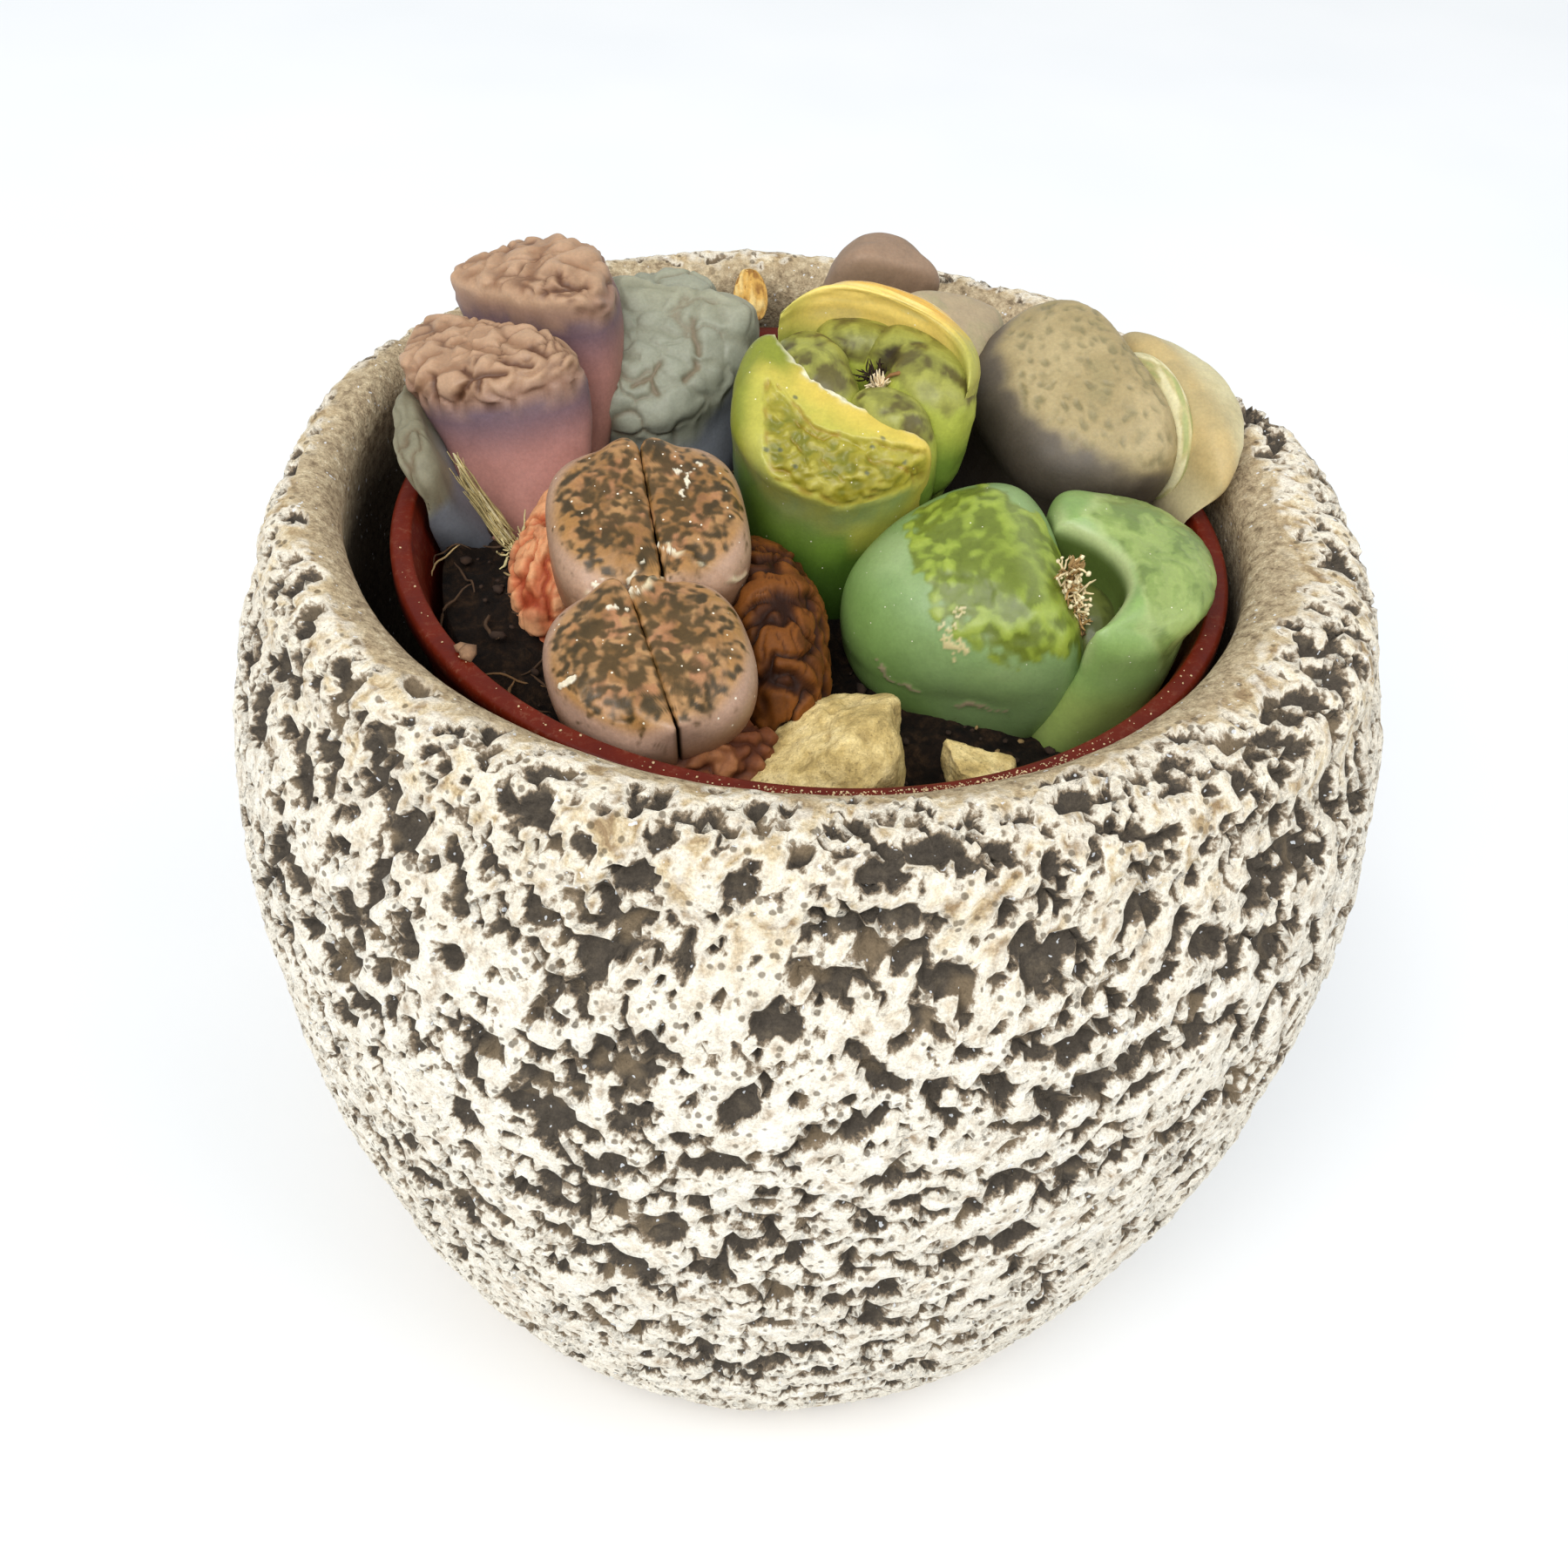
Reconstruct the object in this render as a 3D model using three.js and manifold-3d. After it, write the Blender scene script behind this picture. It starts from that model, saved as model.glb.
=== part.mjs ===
// Potted lithops: eight stone plants crowded in a 55 mm terracotta-coloured nursery pot,
// which stands inside a cast cement pot with a rounded lip.
// Millimetres, +Z up. The origin is the centre of the cement pot's base; -Y is the front.
import * as THREE from "three";
import { mergeVertices } from "three/addons/utils/BufferGeometryUtils.js";
import Module from "manifold-3d";

const wasm = await Module();
wasm.setup();

// ---- pots and soil ------------------------------------------------------------------

const GAP = 0.3; // clearance between pieces that rest against each other

const stone = {
  height: 69,
  baseRadius: 26.4,
  // outside as [radius, height], from the foot's rounded edge to the outer edge of the lip
  belly: [
    [27.5, 1.0], [28.6, 3.4], [31.9, 9.7], [35.3, 18.6], [37.5, 27.6], [38.9, 36.6],
    [39.5, 44.9], [39.2, 52.4], [38.0, 59.3], [35.9, 64.9], [33.9, 68.0], [33.0, 68.75],
    [32.0, 69],
  ],
  mouthRadius: 29.6, // narrowest part of the mouth
  mouthHeight: 66.6,
  neckHeight: 58, // below this the hollow narrows evenly to its floor
  hollowBottomRadius: 25.4,
  floor: 13.5, // height of the hollow's floor
  hollowCentre: [-1.9, 1.5], // the mouth was cast a little off the pot's axis
  segments: 40,
};

const nursery = {
  centre: [-0.8, 0.3],
  rimRadius: 27.5,
  rimInner: 26.1,
  rimTop: 66,
  rimDrop: 1.4, // height of the flange round the rim
  wallTop: 26.6, // outer radius of the wall just below the flange
  wallBottom: 19.6,
  wall: 0.9,
  bottom: stone.floor + GAP,
  floor: 1.2,
  drainRadius: 2.4,
  drainCircle: 11.5, // distance of the drain holes from the pot's axis
  drainCount: 4,
  segments: 40,
};

const soil = {
  level: 57.6, // height where it meets the nursery pot
  mound: 1.4, // how much higher it is in the middle
  unevenness: 0.5,
  segments: 24,
};

// ---- plants ---------------------------------------------------------------------------
// A leaf is half of a stone plant's head. `face` is the middle of the fissure at the top.
// The leaf reaches `half` either way along the fissure and `depth` away from it. `tilt` and
// `toward` lean the face, `turn` is the fissure's bearing in degrees from +X, and the leaf
// grows to the left of that bearing. `crown` is the height of the rounded top, `square` how
// flat that top is, `collar` where the leaf leaves the root, and `foot` the share of the
// outline that is left there. `open` is how far the fissure gapes, `openAt` from its middle,
// a lower `corner` rounds the fissure's two ends more, and a higher `taper` keeps the leaf
// slim further up.

const COLLAR_HEIGHT = 55.6;
const FISSURE = 0.14; // half of the width of a closed fissure

const brownUpper = { face: [-10.9, -7.0, 71.2], tilt: 14, toward: -90, crown: 2.2, square: 3.2 };
const brownLower = { face: [-9.7, -17.7, 68.8], tilt: 10, toward: -100, crown: 2.2, square: 3.2 };

const leaves = {
  brown_upper_leaf_right: {
    ...brownUpper, turn: -76, half: 6.4, depth: 5.9, collar: [-10.5, -4.2], foot: 0.55,
  },
  brown_upper_leaf_left: {
    ...brownUpper, turn: 104, half: 6.8, depth: 6.2, collar: [-10.5, -4.2], foot: 0.55,
  },
  brown_lower_leaf_right: {
    ...brownLower, turn: -69, half: 6.0, depth: 5.9, collar: [-9.4, -13.8], foot: 0.52,
  },
  brown_lower_leaf_left: {
    ...brownLower, turn: 111, half: 6.4, depth: 6.0, collar: [-9.4, -13.8], foot: 0.52,
  },
  pink_leaf_near: {
    face: [-23.9, 11.2, 74.6], tilt: 14, toward: 185, turn: 152, half: 7.4, depth: 8.0,
    crown: 2.6, square: 2.8, collar: [-19.4, 9.4], foot: 0.34, taper: 1.5,
  },
  pink_leaf_far: {
    face: [-23.3, 11.5, 75.6], tilt: 14, toward: 200, turn: -28, half: 7.1, depth: 8.5,
    crown: 3.0, square: 2.6, collar: [-19.4, 9.8], foot: 0.34, taper: 1.3,
  },
  slate_leaf_near: {
    face: [-12.3, 17.0, 72.9], tilt: 30, toward: -95, turn: 172, half: 6.6, depth: 10.5,
    crown: 2.8, square: 2.4, collar: [-11.7, 13.2], foot: 0.6,
  },
  slate_leaf_far: {
    face: [-12.0, 17.3, 72.6], tilt: 14, toward: -90, turn: -8, half: 4.3, depth: 4.8,
    crown: 2.2, square: 2.4, collar: [-11.5, 14.6], foot: 0.6,
  },
  small_slate_leaf_outer: {
    face: [-26.3, 2.4, 71.0], tilt: 18, toward: 210, turn: 135, half: 5.4, depth: 6.6,
    crown: 2.6, square: 2.3, collar: [-21.0, 4.6], foot: 0.38, taper: 1.2,
  },
  small_slate_leaf_inner: {
    face: [-24.6, 4.2, 67.0], tilt: 10, toward: 200, turn: -45, half: 3.8, depth: 2.8,
    crown: 1.8, square: 2.3, collar: [-21.0, 4.8], foot: 0.38, taper: 1.2,
  },
  yellow_old_leaf_front: {
    face: [1.2, 4.2, 75.8], tilt: 27, toward: -100, turn: 146, half: 7.7, depth: 9.5,
    crown: 2.4, square: 3, collar: [0.2, 4.0], foot: 0.55, corner: 4,
  },
  yellow_old_leaf_back: {
    face: [1.2, 4.9, 76.8], tilt: 12, toward: -100, turn: -32, half: 7.5, depth: 7.7,
    crown: 2.8, square: 3, collar: [0.5, 4.4], foot: 0.55, open: 4.6, corner: 4,
  },
  green_leaf_left: {
    face: [14.2, -5.2, 72.0], tilt: 22, toward: -125, turn: 98, half: 8.5, depth: 14.4,
    crown: 6.5, square: 2.1, collar: [12.0, -4.0], foot: 0.72,
  },
  green_leaf_right: {
    face: [16.9, -5.6, 70.5], tilt: 12, toward: -40, turn: -80, half: 7.9, depth: 8.8,
    crown: 5, square: 2.1, collar: [14.4, -4.6], foot: 0.8, open: 3.0, openAt: 3.4,
  },
  tan_leaf_near: {
    face: [20.0, 12.8, 75.5], tilt: 26, toward: -120, turn: 115, half: 9.0, depth: 12,
    crown: 4.5, square: 2.3, collar: [14.4, 13.0], foot: 0.6,
  },
  tan_leaf_far: {
    face: [22.6, 10.8, 73.0], tilt: 12, toward: -30, turn: -65, half: 8.8, depth: 7.0,
    crown: 4, square: 2.4, collar: [16.4, 12.4], foot: 0.6,
  },
  mauve_leaf_far: {
    face: [4.2, 21.0, 75.1], tilt: 8, toward: -90, turn: 40, half: 4.4, depth: 6.0,
    crown: 3.4, square: 2.2, collar: [4.0, 17.2], foot: 0.5,
  },
  mauve_leaf_near: {
    face: [5.9, 20.5, 73.9], tilt: 14, toward: -90, turn: 220, half: 4.9, depth: 7.5,
    crown: 2.6, square: 2.4, collar: [4.4, 17.0], foot: 0.5,
  },
};

// A lobe is a rounded lump: `size` is its reach along `turn`, across it and upwards, before
// `tilt` leans it towards `toward`. `square` above 2 flattens its top and sides. A `loose` one
// lies on the rims and isn't pressed in by them.
const lobes = {
  brown_old_leaf_left: {
    centre: [-16.6, -3.4, 62.9], size: [6.8, 3.2, 5.0], turn: 84, tilt: 8, toward: 190,
  },
  brown_old_leaf_right: {
    centre: [-3.4, -8.2, 62.0], size: [8.7, 3.9, 5.8], turn: -76, tilt: 6, toward: 10,
  },
  brown_old_leaf_front: {
    centre: [-5.7, -19.3, 60.9], size: [4.6, 2.4, 3.2], turn: 25, tilt: 0, toward: 0,
  },
  yellow_new_leaf_left: {
    centre: [-0.9, 6.4, 71.6], size: [4.3, 2.3, 4.6], turn: -66, tilt: 6, toward: 20, square: 2.8,
  },
  yellow_new_leaf_front: {
    centre: [4.0, 1.3, 70.9], size: [3.2, 1.8, 4.4], turn: -34, tilt: 6, toward: 70, square: 2.8,
  },
  yellow_new_leaf_right: {
    centre: [5.0, 6.2, 72.0], size: [4.9, 2.7, 4.6], turn: -72, tilt: 6, toward: 200, square: 2.8,
  },
  yellow_new_leaf_back: {
    centre: [1.2, 10.2, 71.4], size: [2.7, 1.9, 4.6], turn: -20, tilt: 6, toward: 260, square: 2.8,
  },
  yellow_flower_stub: {
    centre: [2.5, 5.0, 74.0], size: [0.9, 0.8, 1.3], turn: 0, tilt: 0, toward: 0,
  },
  green_new_leaf: {
    centre: [17.4, -7.6, 62.8], size: [4.6, 2.0, 4.2], turn: -80, tilt: 4, toward: 0, square: 2.6,
  },
  green_flower_stub: {
    centre: [15.6, -7.9, 67.9], size: [1.0, 0.8, 3.2], turn: 65, tilt: 20, toward: 155,
  },
  tan_new_leaf: {
    centre: [21.6, 12.0, 68.6], size: [6.0, 1.5, 5.0], turn: -65, tilt: 6, toward: 25,
  },
  small_slate_dry_sheath: {
    centre: [-22.6, -1.6, 66.3], size: [4.8, 1.1, 0.7], turn: 12, tilt: 54, toward: 12,
  },
  withered_leaf: {
    centre: [-7.5, 29.0, 68.4], size: [2.5, 1.4, 0.8], turn: 101, tilt: 30, toward: -79,
    loose: true,
  },
};

// A pebble is a solid with softened facets: each facet is [bearing, elevation, distance].
const pebbles = {
  pebble_front_large: {
    centre: [1.0, -17.6, 62.0],
    facets: [
      [178, -8, 5.4], [-95, 18, 4.3], [-40, -5, 5.0], [4, 10, 4.7], [70, 5, 4.2],
      [128, 62, 2.9], [10, 66, 4.5], [-120, 56, 3.9], [-90, -62, 3.6], [60, -60, 3.6],
    ],
  },
  pebble_front_small: {
    centre: [10.7, -16.8, 59.9],
    facets: [
      [-165, 0, 1.9], [-95, 8, 1.5], [-15, 5, 2.0], [80, 5, 1.7], [0, 82, 1.4], [0, -85, 1.4],
    ],
  },
  pebble_right: {
    centre: [23.2, -0.8, 63.0],
    facets: [
      [-6, 4, 1.9], [75, 10, 3.4], [170, 0, 3.0], [-95, 5, 3.2], [20, 78, 3.6], [0, -80, 3.6],
    ],
  },
};

// A root hangs below each plant's leaves: `crown` is its reach along X and Y at the top.
const roots = {
  brown_root: { at: [-10.1, -9.2], crown: [2.8, 7.6], length: 22 },
  pink_root: { at: [-19.4, 9.6], crown: [2.1, 2.1], length: 16 },
  slate_root: { at: [-11.6, 13.8], crown: [2.4, 3.2], length: 20 },
  small_slate_root: { at: [-21.0, 4.8], crown: [1.6, 1.6], length: 12 },
  yellow_root: { at: [0.3, 4.2], crown: [3.0, 3.2], length: 26 },
  green_root: { at: [12.6, -4.3], crown: [4.2, 3.2], length: 24 },
  tan_root: { at: [14.9, 12.8], crown: [3.6, 2.8], length: 20 },
  mauve_root: { at: [4.2, 17.1], crown: [2.4, 2.2], length: 18 },
};

// ---- solids -----------------------------------------------------------------------------

const UP = new THREE.Vector3(0, 0, 1);
const TURN = 2 * Math.PI;
const rad = THREE.MathUtils.degToRad;

// Turns a closed geometry into a manifold-3d solid.
function toSolid(geometry) {
  const bare = geometry.clone();
  bare.deleteAttribute("normal");
  bare.deleteAttribute("uv");
  const merged = mergeVertices(bare, 1e-4);
  const vertProperties = merged.attributes.position.array;
  const triVerts = new Uint32Array(merged.index.array);
  return new wasm.Manifold(new wasm.Mesh({ numProp: 3, vertProperties, triVerts }));
}

// Turns a manifold-3d solid back into a geometry, keeping only its largest body.
function toGeometry(solid) {
  const bodies = solid.decompose();
  const largest = bodies.reduce((best, body) => (body.volume() > best.volume() ? body : best));
  const mesh = largest.getMesh();
  const positions = new Float32Array(mesh.numVert * 3);
  for (let i = 0; i < positions.length; i++) {
    positions[i] = mesh.vertProperties[Math.floor(i / 3) * mesh.numProp + (i % 3)];
  }
  const geometry = new THREE.BufferGeometry();
  geometry.setAttribute("position", new THREE.BufferAttribute(positions, 3));
  geometry.setIndex(new THREE.BufferAttribute(mesh.triVerts, 1));
  return geometry;
}

// Joins a stack of rings into a closed skin. Rings run anticlockwise seen from above, from
// the bottom up, and each end is closed to a point.
function skin(bottom, rings, top) {
  const around = rings[0].length;
  const points = [bottom, ...rings.flat(), top];
  const at = (row, k) => 1 + row * around + (k % around);
  const last = rings.length - 1;
  const index = [];
  for (let k = 0; k < around; k++) {
    index.push(0, at(0, k + 1), at(0, k));
    for (let row = 0; row < last; row++) {
      index.push(at(row, k), at(row, k + 1), at(row + 1, k + 1));
      index.push(at(row, k), at(row + 1, k + 1), at(row + 1, k));
    }
    index.push(points.length - 1, at(last, k), at(last, k + 1));
  }
  const geometry = new THREE.BufferGeometry().setFromPoints(points);
  geometry.setIndex(index);
  return geometry;
}

// A closed lathe of a profile given as [radius, height] pairs, with its axis at `centre`.
function turned(profile, segments, [x, y]) {
  const points = profile.map(([radius, height]) => new THREE.Vector2(radius, height));
  const geometry = new THREE.LatheGeometry(points, segments);
  return toSolid(geometry.rotateX(Math.PI / 2).translate(x, y, 0));
}

// A pebble's, leaf's or lobe's own axes: it leans by `tilt` towards the bearing `toward`.
function leaningAxes({ tilt, toward, turn }) {
  const normal = new THREE.Vector3(
    Math.sin(rad(tilt)) * Math.cos(rad(toward)),
    Math.sin(rad(tilt)) * Math.sin(rad(toward)),
    Math.cos(rad(tilt)),
  );
  const along = new THREE.Vector3(Math.cos(rad(turn)), Math.sin(rad(turn)), 0);
  along.addScaledVector(normal, -along.dot(normal)).normalize();
  return { along, away: new THREE.Vector3().crossVectors(normal, along), normal };
}

// Inner radius of the nursery pot at a height.
const wallFoot = nursery.bottom + nursery.floor;
const wallHead = nursery.rimTop - nursery.rimDrop;

function nurseryInside(height) {
  const share = Math.min(1, (height - wallFoot) / (wallHead - wallFoot));
  return THREE.MathUtils.lerp(nursery.wallBottom, nursery.wallTop, share) - nursery.wall;
}

// Moves a point of a leaf in from the two rims, as a leaf that leans on a rim is pressed.
const RIM_SLOPE = 1.25; // how fast a leaf spreads again above a rim
const RIMS = [
  { centre: nursery.centre, top: nursery.rimTop + GAP, inside: nurseryInside },
  {
    centre: stone.hollowCentre,
    top: stone.mouthHeight + GAP,
    inside: () => stone.mouthRadius,
  },
];

function pressIn(point, grow) {
  for (const { centre, top, inside } of RIMS) {
    const limit = inside(point.z) - GAP + 2 * grow + RIM_SLOPE * Math.max(0, point.z - top);
    const [dx, dy] = [point.x - centre[0], point.y - centre[1]];
    const share = Math.min(1, limit / Math.hypot(dx, dy));
    point.x = centre[0] + share * dx;
    point.y = centre[1] + share * dy;
  }
  return point;
}

// The outline of a leaf as [along, away] pairs: half of an ellipse, closed by the straight
// fissure side with rounded corners.
const SHARP_CORNER = 7;

function leafOutline(half, depth, fissure, corner, around) {
  const middle = 0.5 * (depth + fissure);
  const outline = [];
  for (let k = 0; k < around; k++) {
    const [c, s] = [Math.cos((TURN * k) / around), Math.sin((TURN * k) / around)];
    const a = (c / half) ** 2 + (s / depth) ** 2;
    const b = (2 * middle * s) / depth ** 2;
    const toEllipse = (-b + Math.sqrt(b * b - 4 * a * ((middle / depth) ** 2 - 1))) / (2 * a);
    const toFissure = s < -1e-3 ? (fissure - middle) / s : Infinity;
    const reach = (toEllipse ** -corner + toFissure ** -corner) ** (-1 / corner);
    outline.push([reach * c, middle + reach * s]);
  }
  return { middle, outline };
}

// One leaf as a closed solid, `grow` larger on every side.
function leafSolid(leaf, grow = 0) {
  const [around, sideRows, crownRows] = [16, 4, 3];
  const { along, away, normal } = leaningAxes(leaf);
  const [half, depth, fissure] = [leaf.half + grow, leaf.depth + grow, FISSURE - grow];
  const corner = leaf.corner ?? SHARP_CORNER;
  const { middle, outline } = leafOutline(half, depth, fissure, corner, around);
  const top = new THREE.Vector3(...leaf.face).addScaledVector(normal, grow);
  const brim = top.clone().addScaledVector(normal, -leaf.crown);
  const collar = new THREE.Vector3(...leaf.collar, COLLAR_HEIGHT - grow);
  const reach = brim.distanceTo(collar) * 0.35;
  const stem = new THREE.CubicBezierCurve3(
    collar,
    collar.clone().addScaledVector(UP, reach),
    brim.clone().addScaledVector(normal, -reach),
    brim,
  );
  // a ring of the outline round `centre`, shrunk about its own middle by `inset`
  const ring = (centre, right, out, scale, inset, gape) =>
    outline.map(([u, v]) => {
      const across = middle + inset * (v - middle);
      const thin = Math.max(0, 1 - (across - fissure) / (depth - fissure)) ** 1.6;
      const mouth = Math.max(0, 1 - ((u - (leaf.openAt ?? 0)) / (0.86 * half)) ** 2);
      const shifted = across + gape * (leaf.open ?? 0) * thin * mouth;
      const point = centre.clone().addScaledVector(right, scale * inset * u);
      return pressIn(point.addScaledVector(out, scale * shifted), grow);
    });
  const rings = [];
  for (let i = 0; i <= sideRows; i++) {
    const share = i / sideRows;
    const swell = Math.sin((share * Math.PI) / 2) ** (leaf.taper ?? 1);
    const scale = leaf.foot + (1 - leaf.foot) * swell;
    const axis = UP.clone().lerp(normal, share).normalize();
    const right = along.clone().addScaledVector(axis, -along.dot(axis)).normalize();
    const out = new THREE.Vector3().crossVectors(axis, right);
    rings.push(ring(stem.getPoint(share), right, out, scale, 1, share ** 2));
  }
  for (let i = 1; i < crownRows; i++) {
    const angle = (i / crownRows) * (Math.PI / 2);
    const inset = Math.cos(angle) ** (2 / leaf.square);
    const rise = leaf.crown * Math.sin(angle) ** (2 / leaf.square);
    const centre = brim.clone().addScaledVector(normal, rise);
    rings.push(ring(centre, along, away, 1, inset, 1));
  }
  const middleOf = (points) =>
    points.reduce((sum, p) => sum.add(p), new THREE.Vector3()).divideScalar(points.length);
  const summit = middleOf(rings[rings.length - 1]);
  summit.addScaledVector(normal, top.clone().sub(summit).dot(normal));
  return toSolid(skin(middleOf(rings[0]), rings, summit));
}

// A rounded lump as a closed solid.
function lobeSolid(lobe, grow = 0) {
  const [around, rows] = [12, 5];
  const { along, away, normal } = leaningAxes(lobe);
  const centre = new THREE.Vector3(...lobe.centre);
  const [a, b, c] = lobe.size.map((reach) => reach + grow);
  const flatten = 2 / (lobe.square ?? 2);
  const point = (bearing, height) => {
    const girth = Math.max(0, Math.cos(height)) ** flatten;
    const rise = Math.sign(height) * Math.abs(Math.sin(height)) ** flatten;
    const place = centre.clone()
      .addScaledVector(along, a * Math.cos(bearing) * girth)
      .addScaledVector(away, b * Math.sin(bearing) * girth)
      .addScaledVector(normal, c * rise);
    return lobe.loose ? place : pressIn(place, grow);
  };
  const rings = [];
  for (let i = 1; i < rows; i++) {
    const height = Math.PI * (i / rows - 0.5);
    rings.push(Array.from({ length: around }, (_, k) => point((TURN * k) / around, height)));
  }
  return toSolid(skin(point(0, -Math.PI / 2), rings, point(0, Math.PI / 2)));
}

// A pebble as a closed solid: the facets meet in softened edges.
function pebbleSolid(pebble, grow = 0) {
  const [around, rows, softness] = [12, 6, 9];
  const centre = new THREE.Vector3(...pebble.centre);
  const facets = pebble.facets.map(([bearing, elevation, distance]) => ({
    facing: new THREE.Vector3().setFromSphericalCoords(1, rad(90 - elevation), rad(bearing)),
    distance: distance + grow,
  }));
  const point = (bearing, elevation) => {
    const ray = new THREE.Vector3().setFromSphericalCoords(1, Math.PI / 2 - elevation, bearing);
    const pulls = facets.map(({ facing, distance }) => Math.max(0, facing.dot(ray)) / distance);
    const reach = pulls.reduce((sum, pull) => sum + pull ** softness, 0) ** (-1 / softness);
    // spherical coordinates turn about +Y, so the axes are renamed to turn about +Z
    return new THREE.Vector3(ray.z, ray.x, ray.y).multiplyScalar(reach).add(centre);
  };
  const rings = [];
  for (let i = 1; i < rows; i++) {
    const elevation = Math.PI * (i / rows - 0.5);
    rings.push(Array.from({ length: around }, (_, k) => point((TURN * k) / around, elevation)));
  }
  return toSolid(skin(point(0, -Math.PI / 2), rings, point(0, Math.PI / 2)));
}

// A tap root as a closed solid: a broad crown that narrows quickly, then a long thin tail.
function rootSolid(root, grow = 0) {
  const [around, rows] = [8, 5];
  const tail = 0.5;
  const top = COLLAR_HEIGHT - GAP + grow;
  const rings = [];
  for (let i = rows; i >= 0; i--) {
    const share = i / rows;
    const narrow = (1 - share) ** 1.7;
    const [rx, ry] = root.crown.map((reach) => tail + (reach - tail) * narrow + grow);
    const drift = 0.9 * Math.sin(share * 5 + root.length);
    const height = top - share * (root.length + 2 * grow);
    rings.push(
      Array.from({ length: around }, (_, k) => {
        const bearing = (TURN * k) / around;
        const [x, y] = [rx * Math.cos(bearing), ry * Math.sin(bearing)];
        return new THREE.Vector3(root.at[0] + drift * share + x, root.at[1] + y, height);
      }),
    );
  }
  const endOf = (points) =>
    points.reduce((sum, p) => sum.add(p), new THREE.Vector3()).divideScalar(points.length);
  return toSolid(skin(endOf(rings[0]), rings, endOf(rings[rings.length - 1])));
}

// ---- pots and soil as solids --------------------------------------------------------------

// The cement pot: the turned belly with a rounded lip, less its off-centre hollow.
function stonePot() {
  const body = turned(
    [[0, 0], [stone.baseRadius, 0], ...stone.belly, [0, stone.height]],
    stone.segments,
    [0, 0],
  );
  const overTop = stone.height + 1;
  const hollow = turned(
    [
      [0, stone.floor], [stone.hollowBottomRadius, stone.floor],
      [stone.mouthRadius + 0.3, stone.neckHeight], [stone.mouthRadius, stone.mouthHeight],
      [stone.mouthRadius + 0.35, 67.9], [stone.mouthRadius + 1.2, 68.7],
      [stone.mouthRadius + 2.2, stone.height], [stone.mouthRadius + 2.2, overTop], [0, overTop],
    ],
    stone.segments,
    stone.hollowCentre,
  );
  return body.subtract(hollow);
}

// The nursery pot: a tapered wall with a flange round the rim and drain holes in its floor.
function nurseryPot() {
  const { bottom, rimTop, rimDrop, rimRadius, rimInner, wallTop, wallBottom } = nursery;
  const pot = turned(
    [
      [0, bottom], [wallBottom, bottom], [wallTop, wallHead], [rimRadius, wallHead],
      [rimRadius, rimTop - 0.4], [rimRadius - 0.4, rimTop], [rimInner + 0.3, rimTop],
      [rimInner, rimTop - 0.3], [nurseryInside(wallHead), wallHead],
      [nurseryInside(wallFoot), wallFoot], [0, wallFoot],
    ],
    nursery.segments,
    nursery.centre,
  );
  const holes = [];
  for (let k = 0; k < nursery.drainCount; k++) {
    const bearing = (TURN * k) / nursery.drainCount;
    const drill = new THREE.CylinderGeometry(nursery.drainRadius, nursery.drainRadius, 6, 12);
    drill.rotateX(Math.PI / 2).translate(
      nursery.centre[0] + nursery.drainCircle * Math.cos(bearing),
      nursery.centre[1] + nursery.drainCircle * Math.sin(bearing),
      bottom,
    );
    holes.push(toSolid(drill));
  }
  return holes.reduce((rest, hole) => rest.subtract(hole), pot);
}

// The soil before the plants make their pockets in it.
function soilBody() {
  const [cx, cy] = nursery.centre;
  // one ring of the soil: `height` gives its level at a place
  const ring = (radius, height) =>
    Array.from({ length: soil.segments }, (_, k) => {
      const bearing = (TURN * k) / soil.segments;
      const [x, y] = [cx + radius * Math.cos(bearing), cy + radius * Math.sin(bearing)];
      return new THREE.Vector3(x, y, height(x, y, radius));
    });
  const foot = wallFoot + GAP;
  const edge = nurseryInside(soil.level) - GAP;
  const surface = (x, y, radius) =>
    soil.level + soil.mound * (1 - (radius / edge) ** 2) +
    soil.unevenness * Math.sin(0.42 * x + 1) * Math.cos(0.37 * y);
  const rings = [
    ring(nurseryInside(foot) - GAP, () => foot),
    ...[1, 0.82, 0.6, 0.35].map((share) => ring(share * edge, surface)),
  ];
  const summit = new THREE.Vector3(cx, cy, surface(cx, cy, 0));
  return toSolid(skin(new THREE.Vector3(cx, cy, foot), rings, summit));
}

// ---- assembly -------------------------------------------------------------------------------

const colours = {
  stone_pot: [0xb9ab98, 0.95],
  nursery_pot: [0x8f3318, 0.45],
  soil: [0x2a1d14, 1],
  brown_old: [0xb5654a, 0.55],
  brown: [0xb58a6a, 0.45],
  pink: [0xa97880, 0.5],
  slate: [0x87908a, 0.5],
  small_slate_dry: [0xb7a678, 0.8],
  small_slate: [0x707d86, 0.5],
  yellow_old: [0xc9bd3f, 0.4],
  yellow_new: [0x6f8430, 0.4],
  yellow_flower: [0x8a6a42, 0.9],
  green_flower: [0xc0a063, 0.9],
  green_new: [0x4f6b2c, 0.4],
  green: [0x6fa350, 0.35],
  tan_new: [0xc9bd86, 0.5],
  tan: [0xb3a67c, 0.5],
  mauve: [0xa08a78, 0.5],
  withered: [0xc98f3a, 0.8],
  pebble: [0xcfc08a, 0.95],
};
const ROOT_COLOUR = [0x7a5a40, 0.9];

const group = new THREE.Group();

function addMesh(name, solid) {
  const key = Object.keys(colours).find((start) => name.startsWith(start));
  const [color, roughness] = name.endsWith("_root") ? ROOT_COLOUR : colours[key];
  const material = new THREE.MeshStandardMaterial({ color, roughness, metalness: 0 });
  const mesh = new THREE.Mesh(toGeometry(solid), material);
  mesh.name = name;
  group.add(mesh);
}

const pot = stonePot();
const liner = nurseryPot();
addMesh("stone_pot", pot);
addMesh("nursery_pot", liner);

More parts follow.
